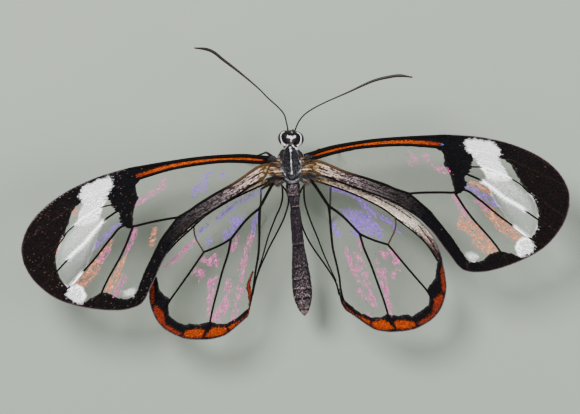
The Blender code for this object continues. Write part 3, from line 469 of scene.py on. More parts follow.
# painted reflections: the hindwing film's iridescent glints, drawn as fixed patches of colour
hindwingGlints = {
    "right": {
        "violet": [[(5.3, 1.0), (6, 1.9), (7, 2.7), (8.3, 3.05), (9.8, 3.0), (10.4, 2.5), (9.5, 1.9),
                    (8.3, 1.2), (6.5, 0.95)],
                   [(2.5, 1.75), (4.5, 3.2), (7.5, 3.65), (9.6, 4.6), (9.6, 4.4), (7.5, 3.4), (4.6, 3.0),
                    (2.6, 1.5)],
                   [(5.8, -0.65), (7.3, -0.8), (7.3, -1.05), (6.0, -0.95)],
                   [(9.5, 4.4), (11.2, 4.65), (11.2, 4.5)],
                   [(7.7, 0.55), (8.7, 0.75), (8.9, 0.6), (8.2, 0.35)]],
        "pink": [[(11.5, 1.5), (11.8, 1.9), (12.5, 1.9), (12.4, 1.6)],
                 [(11.9, 2.6), (13.6, 2.55), (13.8, 2.2), (13.4, 2.0), (12.6, 2.35)],
                 [(12.0, 0.7), (12.7, 0.6), (13.4, 0.75), (13.6, 0.3), (13.95, -0.25), (13.5, -0.2),
                  (13.1, 0.0), (12.9, 0.3), (12.4, 0.4)],
                 [(13.9, 1.2), (14.1, 2.0), (14.4, 1.9), (14.3, 1.5), (14.55, 1.0), (14.1, 1.1)],
                 [(9.9, -0.7), (10.4, -0.6), (11.9, -0.8), (11.6, -0.95), (10.2, -0.85)],
                 [(9.0, 0.5), (10.2, 0.15), (10.1, 0.0), (9.0, 0.35)],
                 [(11.3, -1.15), (12.6, -1.15), (12.7, -1.4), (11.6, -1.35)],
                 [(12.3, -1.6), (13.3, -1.75), (14.0, -1.5), (14.0, -1.75), (13.0, -2.0)],
                 [(14.0, -1.9), (15.0, -2.1), (15.9, -2.5), (15.6, -2.75), (14.6, -2.5)],
                 [(8.8, -1.1), (10.4, -1.5), (12.6, -2.2), (12.4, -2.5), (10.4, -1.9), (8.9, -1.35)],
                 [(13.2, -2.8), (14.6, -2.9), (14.4, -3.2), (13.4, -3.05)],
                 [(14.0, 0.1), (16.0, -0.7), (17.6, -1.65), (17.0, -1.6), (15.5, -0.95), (14.0, -0.3)],
                 [(15.9, -3.6), (16.3, -3.8), (16.2, -3.95)]],
    },
    "left": {
        "violet": [[(4.4, 2.3), (5.4, 3.0), (7.5, 3.5), (7.5, 3.3), (6.0, 2.85), (4.6, 2.1)],
                   [(5.7, 1.1), (6.3, 2.1), (7.0, 2.15), (6.7, 1.5), (7.8, 1.4), (7.8, 1.1), (6.4, 1.0)],
                   [(8.2, 2.0), (9.0, 1.6), (8.6, 1.3), (8.0, 1.6)], [(9.6, 3.1), (10.6, 2.8), (10.0, 2.65)],
                   [(4.4, 0.05), (5.4, -0.3), (7.0, -0.9), (6.9, -0.7), (5.4, -0.05)],
                   [(2.2, 1.0), (4.2, 1.9), (4.6, 2.4), (4.2, 2.3), (2.6, 1.5)],
                   [(8.5, 4.0), (10.6, 4.2), (11.4, 4.4), (10.6, 4.4), (8.6, 4.2)]],
        "pink": [[(10.9, 1.3), (11.6, 1.9), (12.2, 2.4), (12.3, 1.6), (11.9, 0.7), (11.3, 0.9)],
                 [(13.1, 1.5), (13.4, 2.3), (14.0, 2.35), (13.8, 1.8), (14.3, 1.5), (13.5, 1.25)],
                 [(13.0, 0.1), (13.7, 0.5), (14.3, 0.2), (13.8, -0.1), (13.1, -0.15)],
                 [(8.0, 0.45), (9.4, 0.45), (9.6, 0.15), (8.9, 0.1)],
                 [(6.8, -0.6), (8.6, -1.0), (10.8, -1.6), (10.7, -1.8), (9.4, -1.5), (7.0, -0.9)],
                 [(9.0, -1.6), (11.0, -2.2), (13.0, -2.6), (13.0, -2.75), (11.0, -2.4)],
                 [(12.4, -1.2), (13.8, -1.55), (14.0, -1.9), (13.0, -1.95), (12.6, -1.6)],
                 [(14.2, -1.95), (15.2, -2.0), (16.6, -1.9), (17.2, -2.2), (16.7, -3.0), (15.2, -2.8),
                  (14.4, -2.4)],
                 [(12.5, -2.9), (14.2, -3.2), (16.0, -3.95), (15.8, -4.1), (14.0, -3.5), (12.6, -3.1)],
                 [(10.8, 4.3), (13.2, 4.6), (15.2, 5.3), (15.0, 5.4), (13.0, 4.9), (10.9, 4.5)],
                 [(14.0, 0.1), (16.0, -0.7), (17.0, -1.4), (15.5, -0.9), (14.0, -0.2)]],
    },
}
marginLines = [  # veins that run on through the dark margin and along the rear band
    [(24.5, -0.75), (26.5, -1.9), (28.9, -3.2)], [(26.4, -3.95), (28.6, -5.1)], [(26.2, -6.2), (27.5, -7.0)],
    [(22.5, -7.9), (23.3, -9.1)], [(18.5, -9.0), (18.9, -10.1)], [(21.8, 2.6), (26.0, 1.2), (28.5, 0.3)],
    [(23.2, 3.9), (26.5, 2.3)], [(1.0, -0.55), (4, -1.15), (6.5, -1.75), (9, -2.5), (12, -3.6)],
    [(1.4, -1.3), (4, -1.7), (7, -2.3), (10, -3.05), (12.5, -4.2)],
]
stripLines = [[(3.0, 2.9), (5.0, 4.15), (7.0, 5.15), (9.0, 6.0), (10.5, 6.4)],
              [(9.6, 5.2), (11, 5.75), (13, 6.12), (15, 6.2)], [(11.5, 6.6), (14.0, 6.6), (16.0, 6.2)]]
innerStreak = [(10.2, -3.0), (11.8, -3.25), (12.5, -3.95), (13.4, -4.6), (13.2, -4.7), (12.3, -4.1),
               (11.6, -3.45)]
wingMarkNames = ["dark", "white", "whiteCover", "orange", "glow", "band", "peach", "pink", "violet",
                 "along", "lay", "lines", "tone"]
markSpan = 30  # the along mark is 1 at this many millimetres from the root


def forewingValues(flat, sideName):
    marks = forewingMarks
    glints = forewingGlints[sideName]
    u, v = flat[:, 0], flat[:, 1]
    frontEdge = wingEdges(forewing, u)[0]
    block = np.minimum(depthInside(flat, marks["whiteBlock"]), frontEdge - v - 0.34)
    milk = depthInside(flat, marks["milk"])
    spot = depthInside(flat, marks["endSpot"])
    soft = depthInside(flat, marks["softSpot"])
    brightLine = distanceToLine(flat, smoothLine([(19.4, -0.15), (21, -1.05), (22, -1.7), (23, -2.15),
                                                  (24, -2.6), (24.5, -2.9)], 0.3))
    rearLine = distanceToLine(flat, smoothLine([(23.4, -4.75), (24.3, -5.3), (25.1, -5.75)], 0.3))
    cover = np.maximum.reduce([
        softStep(block, -0.3, 0.4) * (0.12 + 1.5 * softStep(v, -0.3, 2.4)),
        (0.02 + 0.1 * softStep(v, -4.5, 0.6)) * softStep(np.maximum(milk, block), 0.0, 0.8),
        softStep(spot, -0.2, 0.35) * 0.95,
        softStep(soft, -0.2, 0.4) * 0.18,
        0.85 * np.exp(-((brightLine / 0.14) ** 2)),
        0.85 * np.exp(-((rearLine / 0.13) ** 2)),
    ])
    band = depthInside(flat, marks["rearBand"])
    veins = forewing["veins"]
    frontLine = np.vstack([smoothLine(veins[name][0], 0.5) for name in ("cubitus", "rearCubitus")])
    bandLay = distanceToLine(flat, frontLine)
    glintLay = np.minimum(distanceToLine(flat, smoothLine(veins["frontCubitus"][0], 0.5)),
                          distanceToLine(flat, smoothLine(veins["rearMedial"][0], 0.5)))
    return {
        "dark": deepest(flat, [marks["costa"], marks["bar"], marks["apex"]]),
        "white": np.maximum.reduce([block, milk, spot, soft, 0.14 - brightLine]),
        "whiteCover": cover,
        "orange": depthInside(flat, marks["orange"]) + 0.035,
        "glow": 1 - softStep(u, 11.6, 14.2),
        "band": band,
        # where the film's painted reflections lie
        "peach": deepest(flat, glints["peach"]),
        "pink": deepest(flat, glints["pink"]),
        "violet": deepest(flat, glints["violet"]),
        "along": u / markSpan,
        "lay": np.where(band > -0.1, bandLay, np.where(u > 16.4, glintLay, v)),
        "lines": np.max([0.05 - distanceToLine(flat, smoothLine(line, 0.5)) for line in marginLines],
                        axis=0),
    }


def hindwingValues(flat, sideName):
    marks = hindwingMarks
    glints = hindwingGlints[sideName]
    rust = deepest(flat, marks["rust"])
    orange = deepest(flat, marks["orange"])
    if sideName == "left":
        rust = np.maximum(rust, depthInside(flat, innerStreak))
    strip = depthInside(flat, marks["costalStrip"])
    outline = np.vstack([smoothLine(hindwing["front"], 0.2), smoothLine(hindwing["rear"], 0.2)[::-1]])
    fromEdge = distanceToLine(flat, outline)
    rust, orange = np.minimum(rust + 0.06, fromEdge - 0.14), np.minimum(orange + 0.03, fromEdge - 0.2)
    return {
        "dark": depthInside(flat, marks["border"]),
        "white": np.full(len(flat), -3.0),
        "whiteCover": np.zeros(len(flat)),
        "orange": np.maximum(rust, orange),
        "glow": softStep(orange - rust, -0.2, 0.2),
        "band": strip,
        # where the film's painted reflections lie
        "peach": np.full(len(flat), -3.0),
        "pink": deepest(flat, glints["pink"]),
        "violet": deepest(flat, glints["violet"]),
        "along": flat[:, 0] / markSpan,
        "lay": np.where(strip > -0.1, strip, np.arctan2(flat[:, 1] - 3.0, flat[:, 0] + 0.6) * 9.0),
        "lines": np.max([0.06 - distanceToLine(flat, smoothLine(line, 0.5)) for line in stripLines], axis=0),
    }


# the wings' finishes

# the glint colours, with their deep and pale shades, are painted reflections of the film's iridescence
wingColours = {
    "pane": "#34372b", "white": "#ffffff", "black": "#030205", "blueBlack": "#05050d",
    "brownBlack": "#1b0d09", "speck": "#7d5c4a", "orange": "#bb4a03", "orangeEdge": "#742403",
    "rust": "#8c2c0f", "rustEdge": "#32100b", "hindOrange": "#b64203", "peach": "#b35a26",
    "peachDeep": "#7f3024", "peachPale": "#cf9273", "pink": "#94236c", "pinkPale": "#bd6590",
    "violet": "#50209c", "violetPale": "#7a4cac", "line": "#271813",
}
wingCovers = {"pane": 0.12, "glint": 0.8, "band": 0.97}  # how much of what is behind each one hides
bandRamps = {  # the colours of light and dark streaks along a scaly band, at millimetres from the root
    "forewing": {
        "light": [(0, "#8f7242"), (0.9, "#cfae7c"), (1.8, "#e8cbbd"), (5, "#a39093"), (7, "#645b5d"),
                  (10, "#3b3739"), (13, "#171517"), (15.5, "#070405")],
        "dark": [(0, "#2c1a10"), (1.2, "#4c3823"), (2.5, "#4c4039"), (5, "#332b2a"), (7, "#221d1d"),
                 (10, "#100d0e"), (13, "#030102"), (15.5, "#010101")],
    },
    "hindwing": {
        "light": [(0, "#7d5f38"), (2, "#ecd3b6"), (5, "#fbe9d8"), (11, "#fdf1e4"), (13.2, "#c9aca0"),
                  (15, "#5a484a"), (16.5, "#302329"), (18, "#180f16")],
        "dark": [(0, "#34221a"), (2, "#6d584a"), (5, "#b7a08c"), (11, "#d6c3b2"), (13.2, "#7a6662"),
                 (15, "#35292c"), (16.5, "#1a1017"), (18, "#090408")],
    },
}
wingNoises = {
    "grain": {"Scale": 5200.0, "Detail": 2.0},  # about 0.2 mm, two scales wide
    "wide": {"Scale": 1300.0, "Detail": 3.0},  # about 0.8 mm
    # the film's fine wrinkles, about 0.18 mm, coarser than real so that they show
    "wrinkle": {"Scale": 5600.0, "Detail": 1.0, "Distortion": 1.6},
    "streaks": {"Scale": 1.0, "Detail": 3.0, "Distortion": 0.4},
    "sheen": {"Scale": 1.0, "Detail": 2.0, "Distortion": 1.1},
}
noiseLays = {  # noises drawn out along the veins: waves in markSpan along the wing, in 1 mm across it
    "streaks": {"Scale": (26.0, 11.0, 1.0)},  # rows of scales, about 1.15 mm by 0.09 mm
    "sheen": {"Scale": (46.0, 5.5, 1.0), "Location": (3.1, 1.7, 0.0)},  # about 0.65 mm by 0.18 mm
}
speckTone = 0.965  # a dark scale with more tone than this is a tan speck
wingPatterns = {  # what each is made from, where it starts and is full, and its value there
    "crease": ("wrinkle", 0.41, 0.52, 0.04, 1.0), "lit": ("sheen", 0.44, 0.52, 0.0, 1.0),
    "turn": ("grain", 0.38, 0.6, 0.0, 1.0), "pale": ("wrinkle", 0.54, 0.63, 0.0, 1.0),
    "split": ("streaks", 0.43, 0.53, 0.0, 1.0), "fleck": ("grain", 0.42, 0.66, 0.0, 1.0),
    "warm": ("along", 17 / markSpan, 24 / markSpan, 0.0, 1.0),
    "lone": ("tone", speckTone, speckTone + 0.005, 0.0, 1.0),
    "stipple": ("grain", 0.36, 0.62, 0.5, 1.45), "patchy": ("grain", 0.36, 0.6, 0.45, 1.0),
    "light": ("tone", 0.0, 1.0, 0.78, 1.22),
}
# the glints are painted reflections; each has a second shade
glintShades = {"peach": "peachDeep", "violet": "violetPale", "pink": "pinkPale"}  # its other shade
glintEdge = ("sheen", 1.3, 0.16)
markEdges = {  # the noise that roughens each mark's edge, by how many mm, and how far each way it fades
    "peach": glintEdge, "violet": glintEdge, "pink": glintEdge, "lines": ("grain", 0.08, 0.03),
    "band": ("grain", 0.2, 0.03), "dark": ("wide", 0.55, 0.04), "white": ("wide", 0.8, 0.12),
    "orange": ("grain", 0.3, 0.05),
}
orangeRims = {  # the orange strip's bright colour, its rim's colour, and the rim's width in mm
    "forewing": ("orange", "orangeEdge", 0.05), "hindwing": ("hindOrange", "rustEdge", 0.16),
}


# Wing cuticle is clear. What colours it is a coat of flat scales, and on the bare film painted glints
# that stand in for its iridescent reflections. This builds the colour and the cover of that coat
# from the depth marks, which the membrane and the scales both carry.
def wingCoat(tree, kind):
    colours = {name: hexColour(text) for name, text in wingColours.items()}
    values = {name: addNode(tree, "Attribute", attribute_name=name).outputs["Fac"] for name in wingMarkNames}
    objectPlace = addNode(tree, "TexCoord").outputs["Object"]
    flat = addNode(tree, "CombineXYZ", {"X": values["along"], "Y": values["lay"]}).outputs[0]
    for name, settings in wingNoises.items():
        vector = objectPlace
        if name in noiseLays:
            vector = addNode(tree, "Mapping", {"Vector": flat, **noiseLays[name]}).outputs[0]
        values[name] = addNode(tree, "TexNoise", {"Vector": vector, **settings}).outputs["Fac"]

    def inside(name):
        noise, rough, soft = markEdges[name]
        return edge(tree, values[name], values[noise], rough, soft)

    def pattern(name):
        source, start, full, low, high = wingPatterns[name]
        return addNode(tree, "MapRange", {"Value": values[source], "From Min": start, "From Max": full,
                                          "To Min": low, "To Max": high}).outputs[0]

    # the bare film, with its rainbow glints painted on where it is creased and lit: painted reflections
    coat = (colours["pane"], wingCovers["pane"])
    sockets = {0: pattern("crease"), 1: pattern("lit")}
    broken = addNode(tree, "Math", sockets, operation="MULTIPLY").outputs[0]
    turn = pattern("turn")
    for name, other in glintShades.items():
        if name == "peach" and kind == "hindwing":
            continue
        shown = addNode(tree, "Math", {0: inside(name), 1: broken}, operation="MULTIPLY").outputs[0]
        own = layColours(tree, colours[other], (turn, colours[name]))
        if name == "peach":
            own = layColours(tree, own, (pattern("pale"), colours["peachPale"]))
        tint = addNode(tree, "MapRange", {"Value": shown, "From Max": 0.12}).outputs[0]
        cover = addNode(tree, "Mix", {0: shown, 2: coat[1], 3: wingCovers["glint"]}).outputs[0]
        coat = (layColours(tree, coat[0], (tint, own)), cover)

    # the streaky band, behind the forewing's cubitus and along the hindwing's front
    bands = {}
    for shade, stops in bandRamps[kind].items():
        ramp = addNode(tree, "ValToRGB", {"Fac": values["along"]})
        points = ramp.color_ramp.elements
        points[0].position, points[0].color = stops[0][0] / markSpan, hexColour(stops[0][1])
        points[1].position, points[1].color = stops[-1][0] / markSpan, hexColour(stops[-1][1])
        for reach, text in stops[1:-1]:
            points.new(reach / markSpan).color = hexColour(text)
        bands[shade] = ramp.outputs["Color"]
    drawn = inside("lines")
    banded = layColours(tree, bands["dark"], (pattern("split"), bands["light"]), (drawn, colours["line"]))
    coat = layOnCoat(tree, coat, inside("band"), banded, wingCovers["band"])

    # the dark borders, bar and tip, with tan specks
    tinged = layColours(tree, colours["blueBlack"], (pattern("warm"), colours["brownBlack"]))
    blackish = layColours(tree, colours["black"], (pattern("fleck"), tinged), (drawn, colours["line"]),
                          (pattern("lone"), colours["speck"]))
    coat = layOnCoat(tree, coat, inside("dark"), blackish, 1.0)

    # the white block and the milky tip, then the orange strips
    light = pattern("light")
    if kind == "forewing":
        whitened = inside("white")
        sockets = {0: values["whiteCover"], 1: pattern("stipple")}
        stippled = addNode(tree, "Math", sockets, operation="MULTIPLY", use_clamp=True).outputs[0]
        coat = layOnCoat(tree, coat, whitened, colours["white"], stippled)
        light = addNode(tree, "Mix", {0: whitened, 2: light, 3: 1.0}).outputs[0]
    bright, rim, reach = orangeRims[kind]
    core = addNode(tree, "MapRange", {"Value": values["orange"], "From Max": reach}).outputs[0]
    core = addNode(tree, "Math", {0: core, 1: pattern("patchy")}, operation="MULTIPLY").outputs[0]
    glow = layColours(tree, colours["rust"], (values["glow"], colours[bright]))
    orange = layColours(tree, colours[rim], (core, glow))
    colour, cover = layOnCoat(tree, coat, inside("orange"), orange, 1.0)
    colour = addNode(tree, "HueSaturation", {"Color": colour, "Value": light}).outputs[0]
    return colour, cover, values["grain"]


def membraneMaterial(kind):  # clear chitin film, thinner than paper: glossy, a little milky
    material, tree, shader = newMaterial(kind + "ClearChitinFilm", 0.28, 1.5, Specular_IOR_Level=0.2)
    colour, cover, grain = wingCoat(tree, kind)
    tree.links.new(colour, shader.inputs["Base Color"])
    tree.links.new(cover, shader.inputs["Alpha"])
    bump = addNode(tree, "Bump", {"Height": grain, "Strength": 0.25, "Distance": 0.02 * mm})
    tree.links.new(bump.outputs[0], shader.inputs["Normal"])
    return material


def scaleMaterial(kind):  # flat pigment scales, laid like tiles: dry and satin
    material, tree, shader = newMaterial(kind + "PigmentScales", 0.55, 1.5, Specular_IOR_Level=0.12)
    tree.links.new(wingCoat(tree, kind)[0], shader.inputs["Base Color"])
    return material


def veinMaterial():  # hard tubes of dark cuticle: nearly matt black, tan where they leave the body
    material, tree, shader = newMaterial("veinDarkCuticle", 0.75, 1.55, Specular_IOR_Level=0.04)
    tan, pale = (addNode(tree, "Attribute", attribute_name=name).outputs["Fac"] for name in ("tan", "pale"))
    objectPlace = addNode(tree, "TexCoord").outputs["Object"]
    noise = addNode(tree, "TexNoise", {"Vector": objectPlace, "Scale": 3000.0}).outputs["Fac"]  # 0.3 mm
    dark = layColours(tree, hexColour("#020102"), (noise, hexColour("#0b0605")))
    brown = layColours(tree, hexColour("#1c120d"), (noise, hexColour("#4a3622")))
    colour = layColours(tree, dark, (tan, brown), (pale, hexColour("#ffffff")))
    tree.links.new(colour, shader.inputs["Base Color"])
    return material


def fringeMaterial():  # hair scales along the margin: a soft, dull purple-brown edge
    material, tree, shader = newMaterial("marginHairScales", 0.65, 1.5, Specular_IOR_Level=0.15)
    tone = addNode(tree, "Attribute", attribute_name="tone").outputs["Fac"]
    colour = layColours(tree, hexColour("#2d2124"), (tone, hexColour("#5c484d")))
    tree.links.new(colour, shader.inputs["Base Color"])
    return material


def blueGlintMaterial():  # scales whose fine ridges give blue without pigment; the flash they give at one angle is painted on as a fixed, bright blue glint; smooth
    material, _, shader = newMaterial("blueGlintScales", 0.4, 1.5, Specular_IOR_Level=0.3)
    shader.inputs["Base Color"].default_value = hexColour("#0f62e0")
    return material


# the wings' pieces: film, veins, scales on both sides and a fringe

# The film hangs by its sag at sagReach from a vein. Its columns round the tip from tipStart on.
film = {"columns": 150, "rows": 64, "sag": 0.07, "sagReach": 1.4, "tipStart": 0.9}
veinTube = {"wider": 1.25, "extra": 0.03, "lift": 0.02, "around": 8, "step": 0.3, "fade": 0.15}
whiteRuns = {  # where a vein is white, in millimetres along the wing
    "middleMedial": [(19.5, 24.4)], "rearMedial": [(23.5, 25.0)], "frontMedial": [(19.4, 22.6)],
    "apex": [(17.3, 20.9)],
}
scaleCoat = {  # wing scales, about twice real size
    "alongs": (-0.2, 29.2, 0.21), "acrosses": (-10.4, 7.4, 0.125),  # first, last and step
    "stagger": 0.1, "jitter": 0.04, "fanFrom": (-4.0, 0.8), "longest": 0.34, "margin": 0.05,
    "lengths": (0.26, 0.36), "widths": (0.12, 0.17), "tilts": (2, 7), "lift": 0.02,
    "veil": 0.9, "veilPower": 2.6, "lone": 0.006, "loneSize": 0.4, "speckSize": 0.5,
}
specks = {  # the highest tone of each wing's dark scales, which says how many are tan specks
    "forewing_left": 1.03, "forewing_right": 0.975, "hindwing_left": 0.96, "hindwing_right": 0.96,
}
fringe = {"starts": {"forewing": 14.0, "hindwing": 9.0}, "step": 0.045, "inset": 0.05, "slant": 0.35,
          "lengths": (0.08, 0.12), "width": 0.1}
# a painted glint: three scales given a fixed blue for the flash their ridges show at one angle
blueGlintSpot = {"places": [(14.5, 3.42), (14.56, 3.3), (14.66, 3.36)], "lift": 0.09, "length": 0.2,
            "width": 0.12, "tilt": 0.08}


def filmSag(flat, wing):  # how far the film hangs below its veins at each flat point
    lines = [smoothLine(vein[0], 0.5) for vein in wing["veins"].values()]
    reach = np.min([distanceToLine(flat, line) for line in lines], axis=0)
    return film["sag"] * softStep(reach, 0.0, film["sagReach"])


def wingBakes(flat):  # a wing's flat points in its bake map
    return bakePlaces(flat[:, 0] / markSpan, (flat[:, 1] + 11) / 19)


def buildMembrane(name, wing, values, material):
    place = wingPlaces[name]
    tipAlong = wing["front"][-1][0]
    length = tipAlong - place["root"]

    def alongAt(s):  # the columns draw closer towards the tip
        return place["root"] + length * (0.75 * s + 0.25 * np.sin(s * np.pi / 2))

    def flatPoints(s, t):
        start = film["tipStart"]
        tip = np.clip((s - start) / (1 - start), 0, 1)
        rounded = alongAt(start) + (tipAlong - alongAt(start)) * np.sin(tip * np.pi / 2)
        along = np.where(s > start, rounded, alongAt(s))
        front, rear = wingEdges(wing, along)
        return np.stack([along, rear + (front - rear) * t], axis=1)

    def inSpace(s, t):
        flat = flatPoints(s, t)
        return wingPoint(flat, place, -filmSag(flat, wing))

    def marks(s, t):
        flat = flatPoints(s, t)
        return {**values(flat, name.split("_")[1]), "tone": np.full(len(flat), 0.5)}

    shape = newShape(wingMarkNames)
    addSheet(shape, film["columns"], film["rows"], inSpace, marks)
    piece = finishPiece(name + "_membrane", shape, material, [name])
    wall = piece.modifiers.new("film", "SOLIDIFY")
    wall.thickness = wing["thickness"] * mm
    wall.offset = 0.0


def buildVeins(name, wing, material):
    shape = newShape(["tan", "pale"])
    for vein, (points, thick, thin, tan) in wing["veins"].items():
        line = smoothLine(points, veinTube["step"])
        share = np.linspace(0, 1, len(line))
        radii = (thick + (thin - thick) * share) * veinTube["wider"] + veinTube["extra"]
        tanShare = (1 - softStep(line[:, 0], tan * 0.45, tan)) if tan else np.zeros(len(line))
        pale, fade = np.zeros(len(line)), veinTube["fade"]
        for start, end in whiteRuns.get(vein, ()):
            begun = softStep(line[:, 0], start - fade, start + fade)
            pale = np.maximum(pale, begun * (1 - softStep(line[:, 0], end - fade, end + fade)))
        path = wingPoint(line, wingPlaces[name], veinTube["lift"])
        addTube(shape, path, radii, veinTube["around"], {"tan": tanShare, "pale": pale})
    finishPiece(name + "_veins", shape, material)


def scaleWays(flat):  # scales point away from one place behind the wing's root
    way = flat - np.array(scaleCoat["fanFrom"])
    return way / np.linalg.norm(way, axis=1)[:, None]


def buildScales(name, wing, values, material, side):
    place, margin = wingPlaces[name], scaleCoat["margin"]
    alongs, acrosses = np.meshgrid(np.arange(*scaleCoat["alongs"]), np.arange(*scaleCoat["acrosses"]),
                                   indexing="ij")
    alongs = alongs + (np.arange(acrosses.shape[1]) % 2)[None] * scaleCoat["stagger"]
    flat = np.stack([alongs.ravel(), acrosses.ravel()], axis=1)
    flat += chance.uniform(-scaleCoat["jitter"], scaleCoat["jitter"], flat.shape)
    fit = flat[:, 0] > place["root"]
    for reach in (0.0, scaleCoat["longest"]):  # a scale's root and its tip both stay on the wing
        ahead = flat + scaleWays(flat) * reach
        front, rear = wingEdges(wing, ahead[:, 0])
        fit &= (ahead[:, 1] < front - margin) & (ahead[:, 1] > rear + margin)
        fit &= ahead[:, 0] < wing["front"][-1][0]
    flat = flat[fit]
    marks = values(flat, name.split("_")[1])
    solid = np.maximum.reduce([marks["dark"], marks["orange"], marks["band"]]) > 0.02
    veilShare = marks["whiteCover"] ** scaleCoat["veilPower"] * scaleCoat["veil"]
    veil = (marks["white"] > 0.02) & (chance.random(len(flat)) < veilShare)
    clear = (marks["white"] > 0.0) & (marks["dark"] < 0.3)
    lone = chance.random(len(flat)) < scaleCoat["lone"]
    keep = (solid & ~clear) | veil | lone
    flat = flat[keep]
    count = len(flat)
    size = np.where((lone & ~solid & ~veil)[keep], scaleCoat["loneSize"], 1.0)
    marks = {key: value[keep] for key, value in marks.items()}
    marks["tone"] = chance.random(count) * specks[name]
    size = np.where(marks["tone"] > speckTone, scaleCoat["speckSize"], size)
    lift = side * (wing["thickness"] / 2 + scaleCoat["lift"]) - filmSag(flat, wing)
    roots = wingPoint(flat, place, lift)
    ahead = wingPoint(flat + scaleWays(flat) * 0.1, place, lift)
    ups = np.tile([0.0, 0.0, float(side)], (count, 1))
    label = "_scales" if side > 0 else "_underScales"
    piece = scatter(name + label, tileTemplate, roots, ahead - roots, ups,
                    chance.uniform(*scaleCoat["lengths"], count) * size,
                    chance.uniform(*scaleCoat["widths"], count) * size,
                    np.radians(chance.uniform(*scaleCoat["tilts"], count)), marks, wingBakes(flat), material)


def buildFringe(name, wing, material):
    place = wingPlaces[name]
    front, rear = smoothLine(wing["front"], fringe["step"]), smoothLine(wing["rear"], fringe["step"])
    start = fringe["starts"][name.split("_")[0]]
    edgeLine = np.vstack([front[front[:, 0] > start], rear[::-1][rear[::-1][:, 0] > start]])
    heading = np.gradient(edgeLine, axis=0)
    heading /= np.maximum(np.linalg.norm(heading, axis=1), 1e-6)[:, None]
    outward = np.stack([-heading[:, 1], heading[:, 0]], axis=1)
    inner = edgeLine - outward * fringe["inset"]
    count = len(edgeLine)
    slant = chance.uniform(-fringe["slant"], fringe["slant"], count)[:, None]
    roots = wingPoint(inner, place)
    ahead = wingPoint(inner + (outward + heading * slant) * 0.1, place)
    marks = {"tone": chance.random(count)}
    piece = scatter(name + "_fringe", hairTemplate, roots, ahead - roots,
                    np.tile([0.0, 0.0, 1.0], (count, 1)), chance.uniform(*fringe["lengths"], count),
                    np.full(count, fringe["width"]), np.zeros(count), marks, wingBakes(inner), material)


veinFinish = veinMaterial()
fringeFinish = fringeMaterial()
for kind, wing, values in (("forewing", forewing, forewingValues), ("hindwing", hindwing, hindwingValues)):
    filmFinish, scaleFinish = membraneMaterial(kind), scaleMaterial(kind)
    for sideName in ("left", "right"):
        name = kind + "_" + sideName
        buildMembrane(name, wing, values, filmFinish)
        buildVeins(name, wing, veinFinish)
        buildScales(name, wing, values, scaleFinish, 1)
        buildScales(name, wing, values, scaleFinish, -1)
        buildFringe(name, wing, fringeFinish)

# the painted blue glint on the right forewing
flat = np.array(blueGlintSpot["places"])
count = len(flat)
roots = wingPoint(flat, wingPlaces["forewing_right"], blueGlintSpot["lift"])
ways = wingPoint(flat + [0.1, 0.0], wingPlaces["forewing_right"], blueGlintSpot["lift"]) - roots
blue = scatter("forewing_right_blueGlintScales", tileTemplate, roots, ways, np.tile([0.0, 0.0, 1.0], (count, 1)),
               *(np.full(count, blueGlintSpot[key]) for key in ("length", "width", "tilt")),
               {"tone": np.full(count, 0.5)}, flat / markSpan, blueGlintMaterial())
print("wings built")


# the body: one skin from the head to the tip of the abdomen

body = {
    "stations": [  # y, middle x, half width, top, bottom
        (-3.88, -0.3, 0.05, 5.05, 4.9), (-3.8, -0.29, 0.34, 5.32, 4.62), (-3.62, -0.27, 0.58, 5.58, 4.4),
        (-3.3, -0.24, 0.84, 5.78, 4.26), (-2.95, -0.22, 0.94, 5.88, 4.2), (-2.62, -0.2, 0.86, 5.8, 4.28),
        (-2.38, -0.17, 0.62, 5.6, 4.42), (-2.14, -0.1, 0.42, 5.5, 4.55), (-1.95, -0.04, 0.5, 5.7, 4.42),
        (-1.75, 0, 0.76, 6.08, 4.2), (-1.5, 0, 1.0, 6.36, 3.95), (-1.1, 0, 1.25, 6.6, 3.8),
        (-0.4, 0, 1.4, 6.82, 3.7), (0.4, 0, 1.36, 6.85, 3.75), (1.0, 0, 1.2, 6.7, 3.9),
        (1.5, 0, 0.96, 6.42, 4.15), (1.85, 0, 0.76, 6.1, 4.5), (2.05, -0.02, 0.68, 5.9, 4.66),
        (2.3, -0.02, 0.75, 6.0, 4.6), (3.3, -0.03, 0.62, 5.87, 4.7), (4.55, -0.05, 0.44, 5.66, 4.83),
        (5.4, -0.06, 0.54, 5.68, 4.76), (6.6, -0.07, 0.57, 5.7, 4.68), (8.75, -0.09, 0.61, 5.62, 4.5),
        (10.0, -0.1, 0.75, 5.67, 4.3), (11.25, -0.11, 0.88, 5.67, 4.05), (12.6, -0.13, 1.0, 5.6, 3.85),
        (13.7, -0.14, 1.03, 5.45, 3.7), (14.65, -0.15, 0.97, 5.25, 3.65), (15.85, -0.17, 0.62, 4.8, 3.75),
        (16.4, -0.18, 0.32, 4.5, 3.85), (16.72, -0.17, 0.06, 4.24, 4.1),
    ],
    "borders": [3.3, 4.6, 8.75, 11.25, 12.6, 13.7, 14.65, 15.85],  # where the abdomen's rings meet
    "ringSteps": [(-0.05, 0.05, 0.06), (0.035, -0.12, 0.1)],  # rise, how far behind a border, width
    "backGroove": (0.05, 0.07),  # the thorax's middle groove: depth and half width
    "squareness": 2.2,  # 2 would be a plain ellipse
    "around": 96,
    "along": 330,
}
bodyLine = smoothLine([(a, b, c, (d + e) / 2, (d - e) / 2) for a, b, c, d, e in body["stations"]], 0.06)
bodyTurns = ([0, 0.16, 0.47, 1.0], [-3.88, -2.1, 2.1, 16.72])  # the sheet's run, and y there


